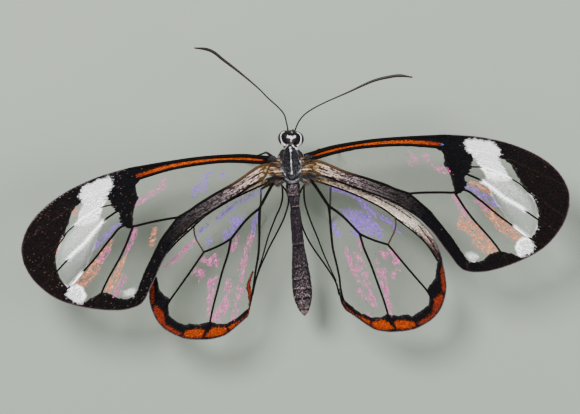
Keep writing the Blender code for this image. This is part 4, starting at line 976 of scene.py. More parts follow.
def bodyPoint(s, t):
    y = np.interp(t, *bodyTurns)
    middleX, halfWidth, middleZ, halfHeight = (np.interp(y, bodyLine[:, 0], bodyLine[:, i]) for i in (1,
                                                                                                      2,
                                                                                                      3,
                                                                                                      4))
    step = np.zeros_like(y)
    for border in body["borders"]:
        for rise, behind, width in body["ringSteps"]:
            step += rise * np.exp(-(((y - border - behind) / width) ** 2))
    turn = 2 * np.pi * (s - 0.25)
    power = 2 / body["squareness"]
    across = np.sign(np.cos(turn)) * np.abs(np.cos(turn)) ** power
    upward = np.sign(np.sin(turn)) * np.abs(np.sin(turn)) ** power
    inBack = (upward > 0) * softStep(y, -1.7, -1.3) * (1 - softStep(y, 0.5, 0.8))
    deep, wide = body["backGroove"]
    backGroove = deep * np.exp(-((across * halfWidth / wide) ** 2)) * inBack
    return np.column_stack([
        middleX + across * np.maximum(halfWidth + step, 0.01),
        y,
        middleZ + upward * np.maximum(halfHeight + step, 0.01) - backGroove,
    ])


bodyMarks = {
    "pale": [  # chains of points seen from above, each with its half width and how white it is
        ([(-0.08, -1.95), (-0.07, -1.6)], 0.08, 1.0),
        ([(-0.07, -1.6), (-0.06, -1.2), (-0.02, -0.6)], 0.03, 0.75),
        ([(-0.03, -0.55), (-0.035, -0.3), (-0.03, 0.05)], 0.065, 1.0),
        ([(-0.03, 0.05), (-0.02, 0.6)], 0.03, 0.6), ([(-0.016, 0.75), (-0.016, 0.78)], 0.12, 0.75),
        ([(0.45, -1.85), (0.62, -1.3), (0.74, -0.75), (0.9, -0.62)], 0.035, 0.06),
        ([(-0.62, -1.7), (-0.81, -1.2), (-0.84, -0.7), (-0.92, -0.58)], 0.035, 0.06),
        ([(1.0, -0.5), (1.11, -0.25), (1.08, 0.18), (0.92, 0.54), (0.68, 0.84)], 0.045, 0.55),
        ([(-1.0, -0.45), (-1.09, -0.05), (-1.06, 0.3), (-0.83, 0.68), (-0.64, 1.02)], 0.045, 0.6),
        ([(0.9, 0.0), (0.8, 0.3), (0.6, 0.65)], 0.02, 0.2),
        ([(-0.88, 0.05), (-0.8, 0.35), (-0.55, 0.75)], 0.02, 0.2),
        ([(1.12, -1.2), (1.2, -0.86)], 0.05, 0.2), ([(-1.12, -1.07), (-1.18, -0.73)], 0.05, 0.2),
        ([(0.23, -2.34), (0.5, -1.97)], 0.09, 1.0), ([(-0.41, -2.2), (-0.66, -1.75)], 0.08, 1.0),
        ([(0.7, 1.32), (0.25, 1.67), (-0.17, 1.7), (-0.74, 1.44)], 0.06, 0.65),
        ([(0.62, 1.76), (0.3, 1.84), (0, 1.85), (-0.35, 1.84), (-0.65, 1.76)], 0.04, 0.4),
        ([(0.27, -3.35), (0.14, -3.26)], 0.14, 1.0), ([(-0.7, -3.13), (-0.84, -3.22)], 0.14, 1.0),
        ([(0.14, -3.22), (-0.27, -3.1), (-0.7, -3.12)], 0.1, 1.0),
        ([(-0.27, -3.05), (-0.26, -2.97)], 0.13, 0.9), ([(-0.23, -2.7), (-0.23, -2.68)], 0.1, 0.7),
        ([(-0.36, -3.66), (-0.36, -3.68)], 0.05, 0.7), ([(0.12, -2.9), (0.1, -2.62)], 0.12, 0.0),
        ([(-0.58, -2.84), (-0.54, -2.58)], 0.12, 0.0), ([(0.14, -3.74), (0.22, -3.66)], 0.05, 0.8),
        ([(-0.82, -3.68), (-0.9, -3.6)], 0.05, 0.8), ([(0.0, -2.4), (-0.4, -2.4)], 0.05, 0.1),
        ([(0.6, -2.6), (0.56, -2.72)], 0.07, 0.3),
        ([(0.5, 2.45), (0.3, 2.84), (0, 2.95), (-0.3, 2.86), (-0.52, 2.48)], 0.03, 0.12),
        ([(0.4, 2.62), (0, 2.66), (-0.4, 2.62)], 0.02, 0.05),
        ([(-0.04, 5.05), (-0.04, 5.07)], 0.05, 0.06), ([(-0.05, 6.15), (-0.05, 6.3)], 0.04, 0.06),
        ([(-0.06, 6.75), (-0.06, 6.8)], 0.045, 0.06), ([(-0.07, 7.3), (-0.08, 8.0)], 0.03, 0.04),
        ([(-0.1, 9.9), (-0.11, 10.7)], 0.04, 0.03), ([(-0.12, 12.4), (-0.12, 12.42)], 0.04, 0.2),
    ],
    "black": [
        ([(0.72, 1.96), (0, 1.99), (-0.72, 1.94)], 0.12),
        ([(0.6, 0.92), (0.36, 1.35), (0.02, 1.48), (-0.39, 1.41), (-0.78, 0.96)], 0.045),
        ([(0.08, -1.7), (0.09, 0.6)], 0.05), ([(-0.15, -1.7), (-0.13, 0.6)], 0.05),
        ([(0.2, -3.52), (-0.3, -3.42), (-0.85, -3.42)], 0.06),
        ([(-0.23, -2.84), (-0.24, -2.82)], 0.1), ([(0.62, 2.2), (0.56, 2.34)], 0.08),
        ([(-0.64, 2.2), (-0.58, 2.34)], 0.08), ([(0.45, 2.75), (0, 2.82), (-0.48, 2.76)], 0.03),
        ([(-0.05, 5.4), (-0.05, 5.44)], 0.11), ([(-0.09, 9.0), (-0.09, 9.04)], 0.12),
        ([(0.2, 3.9), (0.18, 4.1)], 0.06), ([(-0.3, 3.9), (-0.28, 4.1)], 0.06),
    ],
}


def bodyValues(points):
    flat = points[:, :2]
    y = points[:, 1]
    above = points[:, 2] > np.interp(y, bodyLine[:, 0], bodyLine[:, 3])
    pales = np.array([half - distanceToLine(flat, line) for line, half, white in bodyMarks["pale"]])
    whites = np.array([white for line, half, white in bodyMarks["pale"]])[pales.argmax(0)]
    black = np.max([half - distanceToLine(flat, line) for line, half in bodyMarks["black"]], axis=0)
    ringPale = np.max([0.04 - np.abs(y - border + 0.1) for border in body["borders"]], axis=0)
    # painted shade: a near-black band in the groove that sinks just behind each ring's border
    ringDark = np.max([0.07 - np.abs(y - border - 0.05) for border in body["borders"]], axis=0)
    frost = np.interp(y, [-4, -2.2, -1.8, -0.8, 0.4, 1.3, 1.9, 2.3, 3.0, 4.5, 8.5, 11.5, 14.0, 15.6, 16.7],
                      [0.05, 0.05, 0.05, 0.12, 0.3, 0.5, 0.45, 0.55, 0.45, 0.06, 0.1, 0.32, 0.55, 0.7, 0.95])
    half = np.interp(y, bodyLine[:, 0], bodyLine[:, 2])
    outward = np.abs(points[:, 0] - np.interp(y, bodyLine[:, 0], bodyLine[:, 1])) / np.maximum(half, 0.05)
    frost = frost * np.where(y > 1.9, 1 - 0.8 * softStep(outward, 0.6, 0.98), 1.0)
    return {
        "pale": np.where(above, pales.max(0), -1.0), "white": whites, "black": np.where(above, black, -1.0),
        "ringPale": ringPale, "ringDark": ringDark, "back": softStep(y, 1.9, 2.3), "frost": frost,
        "tip": softStep(y, 15.4, 16.6), "tone": np.full(len(points), 0.5),
    }


bodyMarkNames = ["pale", "white", "black", "ringPale", "ringDark", "back", "frost", "tip", "tone"]
bodyNoises = {"grain": 6000.0, "wide": 2600.0}  # about 0.17 mm and 0.38 mm
bodyShades = {  # each part of the coat, from its dark grains to its light ones
    "thorax": ("#0b0a0d", "#2b2a2f"), "thoraxFrost": ("#34333a", "#7d7c84"),
    "abdomen": ("#110b12", "#2c222b"), "abdomenFrost": ("#3c3238", "#86757a"),
    "tip": ("#6b5354", "#b39b98"), "ring": ("#5a474a", "#bca3a0"), "mark": ("#3d2722", "#f4f3f6"),
}
bodyEdges = {  # marks in the order they lie: the noise that roughens an edge, and by how many mm
    # the ring groove's band is painted shade
    "ringPale": ("wide", 0.6), "ringDark": ("wide", 0.55), "black": ("grain", 0.15), "pale": ("wide", 0.28),
}


def bodyCoat(tree):
    marks = {name: addNode(tree, "Attribute", attribute_name=name).outputs["Fac"] for name in bodyMarkNames}
    objectPlace = addNode(tree, "TexCoord").outputs["Object"]
    noises = {}
    for name, scale in bodyNoises.items():
        sockets = {"Vector": objectPlace, "Scale": scale, "Detail": 3.0}
        noises[name] = addNode(tree, "TexNoise", sockets).outputs["Fac"]
    sockets = {"Value": noises["grain"], "From Min": 0.4, "From Max": 0.62}
    speckle = addNode(tree, "MapRange", sockets).outputs[0]
    shades = {}
    for name, (dark, pale) in bodyShades.items():
        share = marks["white"] if name == "mark" else speckle
        shades[name] = layColours(tree, hexColour(dark), (share, hexColour(pale)))
    share = addNode(tree, "Math", {0: marks["frost"], 1: marks["tone"]}, operation="SUBTRACT").outputs[0]
    frosted = addNode(tree, "MapRange", {"Value": share, "From Min": -0.03, "From Max": 0.03}).outputs[0]
    thorax = layColours(tree, shades["thorax"], (frosted, shades["thoraxFrost"]))
    abdomen = layColours(tree, shades["abdomen"], (frosted, shades["abdomenFrost"]),
                         (marks["tip"], shades["tip"]))
    colour = layColours(tree, thorax, (marks["back"], abdomen))
    # the near-black in each ring groove is painted shade
    above = {"ringPale": shades["ring"], "ringDark": hexColour("#070308"), "black": hexColour("#030203"),
             "pale": shades["mark"]}
    for name, (noise, rough) in bodyEdges.items():
        inside = edge(tree, marks[name], noises[noise], rough, 0.03)
        colour = layColours(tree, colour, (inside, above[name]))
    light = addNode(tree, "MapRange", {"Value": marks["tone"], "To Min": 0.65, "To Max": 1.4}).outputs[0]
    return addNode(tree, "HueSaturation", {"Color": colour, "Value": light}).outputs[0], noises["grain"]


def bodyMaterial(name, roughness):  # hard cuticle under a dust of short scales: velvety, dark, frosted
    material, tree, shader = newMaterial(name, roughness, 1.5, Specular_IOR_Level=0.2)
    colour, grain = bodyCoat(tree)
    tree.links.new(colour, shader.inputs["Base Color"])
    bump = addNode(tree, "Bump", {"Height": grain, "Strength": 0.6, "Distance": 0.04 * mm})
    tree.links.new(bump.outputs[0], shader.inputs["Normal"])
    return material


skinFinish = bodyMaterial("scaledCuticle", 0.62)
shape = newShape(bodyMarkNames)
addSheet(shape, body["around"], body["along"], bodyPoint, lambda s, t: bodyValues(bodyPoint(s, t)))
finishPiece("body_skin", shape, skinFinish, ["head", "thorax", "abdomen"])
print("skin built")


def bodyNormals(s, t):
    here, aside = bodyPoint(s, t), 1e-3
    normal = np.cross(bodyPoint(s + aside, t) - here, bodyPoint(s, t + aside) - here)
    normal /= np.maximum(np.linalg.norm(normal, axis=1), 1e-9)[:, None]
    middle = np.column_stack([np.interp(here[:, 1], bodyLine[:, 0], bodyLine[:, 1]), here[:, 1],
                              np.interp(here[:, 1], bodyLine[:, 0], bodyLine[:, 3])])
    outward = np.sign((normal * (here - middle)).sum(1))
    return normal * outward[:, None]


bodyCoats = {  # how many, the part of the sheet's run, and each scale's or hair's size and lift
    "thorax_scales": {"template": tileTemplate, "count": 11000, "run": (0.17, 0.47),
                      "lengths": (0.13, 0.22), "width": 0.075, "lifts": (3, 14)},
    "abdomen_scales": {"template": tileTemplate, "count": 17000, "run": (0.47, 0.995),
                       "lengths": (0.14, 0.22), "width": 0.085, "lifts": (2, 10)},
    "head_scales": {"template": tileTemplate, "count": 6000, "run": (0.01, 0.17),
                    "lengths": (0.08, 0.15), "width": 0.05, "lifts": (4, 16)},
    "thorax_hair": {"template": hairTemplate, "count": 6000, "run": (0.17, 0.43),
                    "lengths": (0.2, 0.38), "width": 0.028, "lifts": (8, 30)},
    "abdomen_hair": {"template": hairTemplate, "count": 2500, "run": (0.5, 0.99),
                     "lengths": (0.16, 0.3), "width": 0.025, "lifts": (6, 20)},
}


def buildBodyCoat(name, coat, material):
    count = coat["count"]
    s = chance.random(count)
    t = chance.uniform(*coat["run"], count)
    roots = bodyPoint(s, t)
    normals = bodyNormals(s, t)
    ways = bodyPoint(s, np.minimum(t + 0.004, 1.0)) - roots + np.array([0, 1e-6, 0])
    ways += chance.normal(0, 0.0015, ways.shape)
    marks = bodyValues(roots + normals * 0.001)
    marks["tone"] = chance.random(count)
    piece = scatter(name, coat["template"], roots, ways, normals, chance.uniform(*coat["lengths"], count),
                    np.full(count, coat["width"]), np.radians(chance.uniform(*coat["lifts"], count)),
                    marks, bakePlaces(s, t), material)


coatFinish = bodyMaterial("bodyScales", 0.6)
for name, coat in bodyCoats.items():
    buildBodyCoat(name, coat, coatFinish)
print("body coat built")


# the places where the wings grow: a folded skin of tan plates, tufts over it, and a lobe in front

wingRoots = {  # the part of the flank each root takes, how high on it, and its part of the wing
    "forewing": {"flank": (-0.85, 1.25), "height": 0.75, "wing": (0.8, -1.3), "reach": 0.95, "arch": 0.14,
                 "tufts": 420, "dark": 0.0},
    "hindwing": {"flank": (0.75, 1.65), "height": 0.3, "wing": (1.3, -0.4), "reach": 0.4, "arch": 0.06,
                 "tufts": 220, "dark": 0.7},
}
rootSkin = {"inset": 0.12, "sunk": 0.05, "fold": 0.05, "folds": 19, "lean": 2, "thickness": 0.1,
            "tuftLengths": (0.22, 0.5), "tuftWidth": 0.04, "tuftLifts": (4, 28)}
lobe = {"left": (1.97, -0.9, 6.36), "right": (-1.89, -0.8, 6.36), "radii": (0.4, 0.3, 0.22),
        "hairs": 420, "hairLengths": (0.14, 0.3), "hairWidth": 0.045, "hairLifts": (2, 22)}
rootMarkNames = ["across", "along", "tone", "grey"]


def rootPoint(kind, sideName, s, t):  # s runs from the flank to the wing, t from front to rear
    root, place = wingRoots[kind], wingPlaces[kind + "_" + sideName]
    side = place["side"]
    y = root["flank"][0] + (root["flank"][1] - root["flank"][0]) * t
    turn = 0.5 - side * (0.25 - root["height"] / (2 * np.pi))
    inner = bodyPoint(np.full_like(t, turn), np.interp(y, bodyTurns[1], bodyTurns[0]))
    inner = inner - [side * rootSkin["inset"], 0, rootSkin["sunk"]]
    across = root["wing"][0] + (root["wing"][1] - root["wing"][0]) * t
    outerFlat = np.column_stack([np.full_like(t, place["root"] + root["reach"]), across])
    outer = wingPoint(outerFlat, place, -rootSkin["sunk"])
    fold = rootSkin["fold"] * np.sin(t * rootSkin["folds"] + s * rootSkin["lean"])
    fold = fold + root["arch"] * np.sin(np.pi * s)
    return inner + (outer - inner) * s[:, None] + np.column_stack([0 * s, 0 * s, fold])


def rootMaterial():  # bare plates and folded skin: satin, tan and brown, with darker seams
    material, tree, shader = newMaterial("wingRootPlates", 0.55, 1.5, Specular_IOR_Level=0.2)
    marks = {name: addNode(tree, "Attribute", attribute_name=name).outputs["Fac"] for name in rootMarkNames}
    flat = addNode(tree, "CombineXYZ", {"X": marks["across"], "Y": marks["along"]}).outputs[0]
    # about eleven seams from front to rear, 0.1 to 0.2 mm apart, that run out to the wing
    lay = addNode(tree, "Mapping", {"Vector": flat, "Scale": (1.1, 11.0, 1.0)}).outputs[0]
    sockets = {"Vector": lay, "Scale": 1.0, "Detail": 3.0, "Distortion": 0.25}
    seams = addNode(tree, "TexNoise", sockets).outputs["Fac"]
    ramp = addNode(tree, "ValToRGB", {"Fac": seams})
    points = ramp.color_ramp.elements
    points[0].position, points[0].color = 0.38, hexColour("#0e0706")
    points[1].position, points[1].color = 0.64, hexColour("#e3d2bb")
    points.new(0.45).color = hexColour("#2e1b14")
    points.new(0.53).color = hexColour("#5d4428")
    points.new(0.58).color = hexColour("#97794f")
    light = addNode(tree, "MapRange", {"Value": marks["tone"], "To Min": 0.6, "To Max": 1.4}).outputs[0]
    tan = addNode(tree, "HueSaturation", {"Color": ramp.outputs["Color"], "Value": light}).outputs[0]
    grey = layColours(tree, hexColour("#0b0a0d"), (marks["tone"], hexColour("#57555b")))
    tree.links.new(layColours(tree, tan, (marks["grey"], grey)), shader.inputs["Base Color"])
    bump = addNode(tree, "Bump", {"Height": seams, "Strength": 0.5, "Distance": 0.05 * mm})
    tree.links.new(bump.outputs[0], shader.inputs["Normal"])
    return material


def buildRoot(kind, sideName, material):
    root, name = wingRoots[kind], kind + "_" + sideName
    shape = newShape(rootMarkNames)
    addSheet(shape, 14, 26, lambda s, t: rootPoint(kind, sideName, s, t),
             lambda s, t: {"across": s, "along": t, "tone": 0.5 + 0 * s, "grey": root["dark"] + 0 * s})
    piece = finishPiece(name + "_root", shape, material)
    plate = piece.modifiers.new("plate", "SOLIDIFY")
    plate.thickness = rootSkin["thickness"] * mm
    plate.offset = -1.0
    count = root["tufts"]
    s, t = chance.uniform(0.0, 0.85, count), chance.random(count)
    roots = rootPoint(kind, sideName, s, t)
    ways = rootPoint(kind, sideName, s + 0.05, t) - roots + chance.normal(0, 0.03, roots.shape)
    grey = np.maximum(0.9 - 0.9 * softStep(s, 0.05, 0.4), root["dark"])  # dark on the flank
    marks = {"across": s, "along": t, "tone": chance.random(count), "grey": grey}
    tufts = scatter(name + "_rootHair", hairTemplate, roots, ways, np.tile([0.0, 0.0, 1.0], (count, 1)),
                    chance.uniform(*rootSkin["tuftLengths"], count), np.full(count, rootSkin["tuftWidth"]),
                    np.radians(chance.uniform(*rootSkin["tuftLifts"], count)), marks, bakePlaces(s, t),
                    material)


def lobePoint(middle, radii, s, t):  # a closed egg: s goes round it, t from its inner to its outer end
    turn, out = 2 * np.pi * s, np.pi * t
    return np.column_stack([
        middle[0] - radii[0] * np.cos(out),
        middle[1] + radii[1] * np.sin(out) * np.cos(turn),
        middle[2] + radii[2] * np.sin(out) * np.sin(turn),
    ])


def buildLobe(sideName, side, material):
    middle, radii = lobe[sideName], lobe["radii"]
    shape = newShape(rootMarkNames)
    addSheet(shape, 24, 16, lambda s, t: lobePoint(middle, radii, s, t),
             lambda s, t: {"across": s, "along": t, "tone": 0 * s, "grey": 1 + 0 * s})
    finishPiece("lobe_" + sideName, shape, material)
    count = lobe["hairs"]
    s, t = chance.random(count), chance.uniform(0.04, 0.96, count)
    roots = lobePoint(middle, radii, s, t)
    ups = (roots - middle) / np.array(radii)
    ways = np.tile([side * 0.5, 0.8, 0.0], (count, 1)) + chance.normal(0, 0.25, roots.shape)
    marks = {"across": s, "along": t, "tone": chance.random(count) ** 3 * 0.6, "grey": np.ones(count)}
    tufts = scatter("lobe_" + sideName + "_hair", hairTemplate, roots, ways, ups,
                    chance.uniform(*lobe["hairLengths"], count), np.full(count, lobe["hairWidth"]),
                    np.radians(chance.uniform(*lobe["hairLifts"], count)), marks, bakePlaces(s, t), material)


rootFinish = rootMaterial()
for sideName, side in (("left", 1), ("right", -1)):
    for kind in ("forewing", "hindwing"):
        buildRoot(kind, sideName, rootFinish)
    buildLobe(sideName, side, rootFinish)
print("wing roots built")


# eyes, feelers, palps, tongue and legs

eye = {
    "middle": (-0.23, -2.93, 4.95), "apart": 0.58, "skew": 0.1, "radii": (0.86, 0.87, 0.85),
    # scales on the dome: a white crescent, 1 being the outline, and black ones from it to the middle
    "crescent": 0.6, "turns": (-1.5, 1.4), "scales": 1900, "whiteShare": 0.6, "outermost": 0.97,
    "lengths": (0.09, 0.15), "width": 0.05, "tilts": (3, 12),
}


def eyePoint(side, share, turn):  # on the dome's upper half: share 1 at its outline, turn 0 outwards
    middle, radii = eye["middle"], eye["radii"]
    return np.column_stack([
        middle[0] + side * (eye["apart"] + radii[0] * share * np.cos(turn)),
        middle[1] - side * eye["skew"] + radii[1] * share * np.sin(turn),
        middle[2] + radii[2] * np.sqrt(np.maximum(0, 1 - share**2)),
    ])


def buildEye(sideName, material, rimMaterial):
    side = 1 if sideName == "left" else -1
    middle = (eye["middle"][0] + side * eye["apart"], eye["middle"][1] - side * eye["skew"],
              eye["middle"][2])
    shape = newShape()
    addSheet(shape, 56, 36, lambda s, t: lobePoint(middle, eye["radii"], s, t))
    finishPiece("eye_" + sideName + "_dome", shape, material, ["eye_" + sideName])
    count = eye["scales"]
    turn = chance.uniform(*eye["turns"], count)
    half = 0.025 + 0.04 * softStep(turn, -1.45, 0.0) + 0.07 * softStep(turn, 0.3, 1.2)
    middleShare = eye["crescent"] + np.where(turn < 0, 0.22, 0.3) * np.sin(turn) ** 2
    white = chance.random(count) < eye["whiteShare"]
    share = middleShare + chance.uniform(-1, 1, count) * half
    share = np.where(white, share, chance.uniform(0.05, 1.0, count) * (middleShare - half))
    share = np.minimum(share, eye["outermost"])
    roots = eyePoint(side, share, turn)
    ups = (roots - middle) / np.array(eye["radii"])
    ways = eyePoint(side, share, turn + 0.05) - roots
    marks = {"white": white.astype(float), "tone": chance.random(count)}
    rim = scatter("eye_" + sideName + "_rim", tileTemplate, roots, ways, ups,
                  chance.uniform(*eye["lengths"], count), np.full(count, eye["width"]),
                  np.radians(chance.uniform(*eye["tilts"], count)), marks,
                  bakePlaces((turn + 3) / 6, share), rimMaterial)


def eyeMaterial():  # compound eye: lens facets under one glossy coat, a black dome with a small light
    material, tree, shader = newMaterial("compoundEyeLenses", 0.22, 1.5, Coat_Weight=0.12,
                                         Coat_Roughness=0.08, Specular_IOR_Level=0.2)
    objectPlace = addNode(tree, "TexCoord").outputs["Object"]
    sockets = {"Vector": objectPlace, "Scale": 16000.0}  # facets 0.06 mm, drawn twice real size
    depth = addNode(tree, "TexVoronoi", sockets).outputs["Distance"]
    colour = layColours(tree, hexColour("#030202"), (depth, hexColour("#120a08")))
    tree.links.new(colour, shader.inputs["Base Color"])
    bump = addNode(tree, "Bump", {"Height": depth, "Strength": 0.3, "Distance": 0.01 * mm})
    tree.links.new(bump.outputs[0], shader.inputs["Normal"])
    return material


def rimScaleMaterial():  # chalk-white scales round the eye, black ones inside them, all matt
    material, tree, shader = newMaterial("eyeRimScales", 0.6, 1.5, Specular_IOR_Level=0.15)
    white, tone = (addNode(tree, "Attribute", attribute_name=name).outputs["Fac"]
                   for name in ("white", "tone"))
    dark = layColours(tree, hexColour("#040304"), (tone, hexColour("#1c1a1d")))
    pale = layColours(tree, hexColour("#e3e2e6"), (tone, hexColour("#ffffff")))
    tree.links.new(layColours(tree, dark, (white, pale)), shader.inputs["Base Color"])
    return material


def plainScaleMaterial(name, low, high, roughness):  # cuticle with a fine grain and no marks
    material, tree, shader = newMaterial(name, roughness, 1.5, Specular_IOR_Level=0.2)
    objectPlace = addNode(tree, "TexCoord").outputs["Object"]
    sockets = {"Vector": objectPlace, "Scale": 7000.0, "Detail": 3.0}  # about 0.14 mm
    grain = addNode(tree, "TexNoise", sockets).outputs["Fac"]
    spread = addNode(tree, "MapRange", {"Value": grain, "From Min": 0.35, "From Max": 0.65}).outputs[0]
    colour = layColours(tree, hexColour(low), (spread, hexColour(high)))
    tree.links.new(colour, shader.inputs["Base Color"])
    bump = addNode(tree, "Bump", {"Height": grain, "Strength": 0.5, "Distance": 0.03 * mm})
    tree.links.new(bump.outputs[0], shader.inputs["Normal"])
    return material


eyeFinish = eyeMaterial()
rimFinish = rimScaleMaterial()
for sideName in ("left", "right"):
    buildEye(sideName, eyeFinish, rimFinish)

antenna = {
    "left": [(0.02, -3.6), (0.03, -3.9), (0.12, -4.7), (0.32, -5.65), (0.91, -6.47), (1.93, -7.55),
             (2.94, -8.73), (4.78, -10.54), (6.53, -12.11), (7.45, -12.96), (8.3, -13.36), (9.5, -13.57)],
    "right": [(-0.72, -3.5), (-0.76, -3.8), (-1.27, -4.75), (-1.99, -5.47), (-3.03, -6.05), (-4.39, -6.6),
              (-5.53, -6.99), (-7.12, -7.53), (-8.48, -8.04), (-9.84, -8.48), (-11.2, -8.7), (-12.6, -8.77),
              (-14.0, -8.47)],
    "baseZ": 5.75, "tipZ": 9.4, "stalk": 0.08, "club": 0.17, "ring": 0.36,
}


def buildAntenna(sideName, material):
    line = smoothLine(antenna[sideName], 0.12)
    reach = np.concatenate([[0], np.cumsum(np.linalg.norm(np.diff(line, axis=0), axis=1))])
    share = reach / reach[-1]
    path = np.column_stack([line, antenna["baseZ"] + (antenna["tipZ"] - antenna["baseZ"]) * share])
    club = antenna["stalk"] + (antenna["club"] - antenna["stalk"]) * softStep(share, 0.35, 0.85)
    radii = club * (1 - 0.5 * softStep(share, 0.9, 1.0))
    ripple = 1 + 0.07 * np.sin(reach * 2 * np.pi / antenna["ring"])
    radii = radii * ripple + 0.05 * np.exp(-((reach / 0.25) ** 2))  # with a knob at its foot
    shape = newShape(["reach", "share"])
    addTube(shape, path, radii, 12, {"reach": reach, "share": share})
    nodes = ["antenna_" + sideName + "_stalk", "antenna_" + sideName + "_club"]
    finishPiece("antenna_" + sideName, shape, material, nodes)


def antennaMaterial():  # ringed black cuticle: satin, with dusty brown showing between the rings
    material, tree, shader = newMaterial("antennaRingedCuticle", 0.5, 1.5, Specular_IOR_Level=0.2)
    reach, share = (addNode(tree, "Attribute", attribute_name=name).outputs["Fac"]
                    for name in ("reach", "share"))
    sockets = {0: reach, 1: 2 * math.pi / antenna["ring"]}
    wave = addNode(tree, "Math", sockets, operation="MULTIPLY").outputs[0]
    wave = addNode(tree, "Math", {0: wave}, operation="SINE").outputs[0]
    ring = addNode(tree, "MapRange", {"Value": wave, "From Min": 0.4, "From Max": 1.0}).outputs[0]
    dusty = addNode(tree, "ValToRGB", {"Fac": share})
    points = dusty.color_ramp.elements
    points[0].position, points[0].color = 0.3, hexColour("#0b0605")
    points[1].position, points[1].color = 1.0, hexColour("#1c110b")
    points.new(0.55).color = hexColour("#3a2c2c")
    points.new(0.75).color = hexColour("#2c1f1d")
    colour = layColours(tree, hexColour("#0a0504"), (ring, dusty.outputs["Color"]))
    tree.links.new(colour, shader.inputs["Base Color"])
    return material


antennaFinish = antennaMaterial()
for sideName in ("left", "right"):
    buildAntenna(sideName, antennaFinish)

legs = {
    "midleg_left": [(1.35, -0.5, 3.95), (2.6, -1.65, 4.9), (5.2, -0.95, 0.16), (8.1, -1.15, 0.06)],
    "midleg_right": [(-1.35, -0.5, 3.95), (-3.3, -1.5, 4.9), (-5.4, -1.15, 0.16), (-8.2, -1.45, 0.06)],
    "hindleg_left": [(1.25, 1.3, 4.15), (3.5, 2.35, 4.4), (4.05, 6.6, 0.16), (4.5, 10.2, 0.06)],
    "hindleg_right": [(-1.25, 1.3, 4.15), (-4.2, 2.55, 4.4), (-3.83, 6.6, 0.16), (-3.98, 10.3, 0.06)],
}


def bentPath(corners, step, ease):  # straight lengths with each corner eased by a short bend
    corners = [np.array(c, float) for c in corners]
    points = [corners[0]]
    for before, corner, after in zip(corners, corners[1:], corners[2:]):
        a, b = before - corner, after - corner
        points += [corner + a / np.linalg.norm(a) * ease, corner + b / np.linalg.norm(b) * ease]
    points.append(corners[-1])
    line = [points[:1]]
    for start, end in zip(points, points[1:]):
        count = max(1, round(float(np.linalg.norm(end - start)) / step))
        line.append(start + (end - start) * ((np.arange(count) + 1) / count)[:, None])
    return np.vstack(line)


def buildLeg(name, material):
    path = bentPath(legs[name], 0.2, 0.12)
    hip, knee, ankle, toe = (np.array(p) for p in legs[name])
    reach = np.concatenate([[0], np.cumsum(np.linalg.norm(np.diff(path, axis=0), axis=1))])
    thigh, shin = np.linalg.norm(knee - hip), np.linalg.norm(ankle - knee)
    total = reach[-1]
    # radii at the hip, in the thigh, at the knee, below it, at the ankle, below it and at the toe
    radii = np.interp(reach, [0, thigh * 0.4, thigh, thigh + 0.5, thigh + shin, thigh + shin + 0.3, total],
                      [0.19, 0.2, 0.13, 0.11, 0.1, 0.08, 0.055])
    shape = newShape(["reach"])
    addTube(shape, path, radii, 12, {"reach": reach})
    parts = [name + "_" + part for part in ("femur", "tibia", "tarsus")]
    finishPiece(name, shape, material, parts)


# Rows for both sides: how far out from the middle, then how far the head's turn shifts it, y and z.
foreleg = {"rows": [(0.65, 0, -1.3, 3.9), (0.62, -0.1, -2.4, 3.35), (0.7, -0.2, -3.3, 3.6)],
           "radii": (0.16, 0.06)}
palp = {"rows": [(0.3, -0.2, -3.1, 4.4), (0.34, -0.22, -3.7, 4.0), (0.26, -0.25, -3.98, 4.5)],
        "radius": 0.15}
tongue = {"middle": (-0.2, -2.78, 3.85), "coil": (0.72, 0.22), "turn": 560, "points": 90,
          "radii": (0.1, 0.06)}

legFinish = plainScaleMaterial("legScaledCuticle", "#070405", "#241a17", 0.55)  # satin brown-black
for name in legs:
    buildLeg(name, legFinish)
for sideName, side in (("left", 1), ("right", -1)):
    limb, brush = ([(side * out + shift, y, z) for out, shift, y, z in piece["rows"]]
                   for piece in (foreleg, palp))
    shape = newShape(["reach"])
    path = bentPath(limb, 0.12, 0.1)
    addTube(shape, path, np.linspace(*foreleg["radii"], len(path)), 10, {"reach": np.arange(len(path))})
    finishPiece("foreleg_" + sideName + "_limb", shape, legFinish, ["foreleg_" + sideName])
    shape = newShape(["reach"])
    path = smoothLine(brush, 0.08)
    radii = palp["radius"] * np.sin(np.linspace(0.5, 2.9, len(path)))  # thickest at its middle
    addTube(shape, path, radii, 10, {"reach": np.arange(len(path))})
    finishPiece("palp_" + sideName + "_brush", shape, legFinish, ["palp_" + sideName])

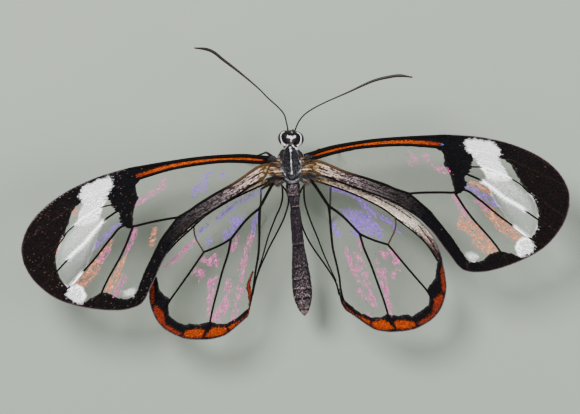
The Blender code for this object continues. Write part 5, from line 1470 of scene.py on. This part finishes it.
turns = np.linspace(0, math.radians(tongue["turn"]), tongue["points"])
coilRadius = np.linspace(*tongue["coil"], tongue["points"])
path = np.column_stack([np.full(tongue["points"], tongue["middle"][0]),
                        tongue["middle"][1] - coilRadius * np.cos(turns),
                        tongue["middle"][2] - coilRadius * np.sin(turns)])
shape = newShape(["reach"])
addTube(shape, path, np.linspace(*tongue["radii"], len(path)), 10, {"reach": np.arange(len(path))})
tongueFinish = plainScaleMaterial("tongueCuticle", "#2a170c", "#5a3a22", 0.35)  # smooth shiny brown
finishPiece("tongue_coil", shape, tongueFinish, ["proboscis"])
print("head parts and legs built")


# floor, light and camera

room = {
    "floorRadius": 0.9, "floor": "#737a70", "sky": "#f4f5f6", "skyStrength": 0.85,
    "lights": {  # place in metres, size across and power; each is turned to the middle of the floor
        "keyLight": ((0.12, -0.16, 0.26), 0.14, 2.8),
        "fillLight": ((-0.22, 0.05, 0.2), 0.2, 1.15),
    },
    # the camera in millimetres, straight above and turned so that the head points up
    "camera": (0.33, 2.05, 397), "cameraTurn": 180 - 4.6, "lens": 220, "sensor": 36, "nearest": 0.01,
}

floorMesh = bpy.data.meshes.new("studioFloor")
shape = bmesh.new()
bmesh.ops.create_circle(shape, cap_ends=True, segments=96, radius=room["floorRadius"])
shape.to_mesh(floorMesh)
shape.free()
floor = bpy.data.objects.new("studioFloor", floorMesh)
bpy.context.scene.collection.objects.link(floor)
floorFinish, _, shader = newMaterial("matPaper", 0.85)  # pressed card: matt grey-green, no highlight
shader.inputs["Base Color"].default_value = hexColour(room["floor"])
floorMesh.materials.append(floorFinish)

for name, (place, size, power) in room["lights"].items():
    light = bpy.data.lights.new(name, "AREA")
    light.shape = "DISK"
    light.size = size
    light.energy = power
    lamp = bpy.data.objects.new(name, light)
    lamp.location = place
    lamp.rotation_euler = (-Vector(place)).to_track_quat("-Z", "Y").to_euler()
    bpy.context.scene.collection.objects.link(lamp)
world = bpy.data.worlds.new("studioWorld")
world.use_nodes = True
world.node_tree.nodes["Background"].inputs[0].default_value = hexColour(room["sky"])
world.node_tree.nodes["Background"].inputs[1].default_value = room["skyStrength"]
bpy.context.scene.world = world

cameraData = bpy.data.cameras.new("camera")
cameraData.lens = room["lens"]
cameraData.sensor_width = room["sensor"]
cameraData.clip_start = room["nearest"]
camera = bpy.data.objects.new("camera", cameraData)
camera.location = [length * mm for length in room["camera"]]
camera.rotation_euler = (0, 0, math.radians(room["cameraTurn"]))
bpy.context.scene.collection.objects.link(camera)
bpy.context.scene.camera = camera
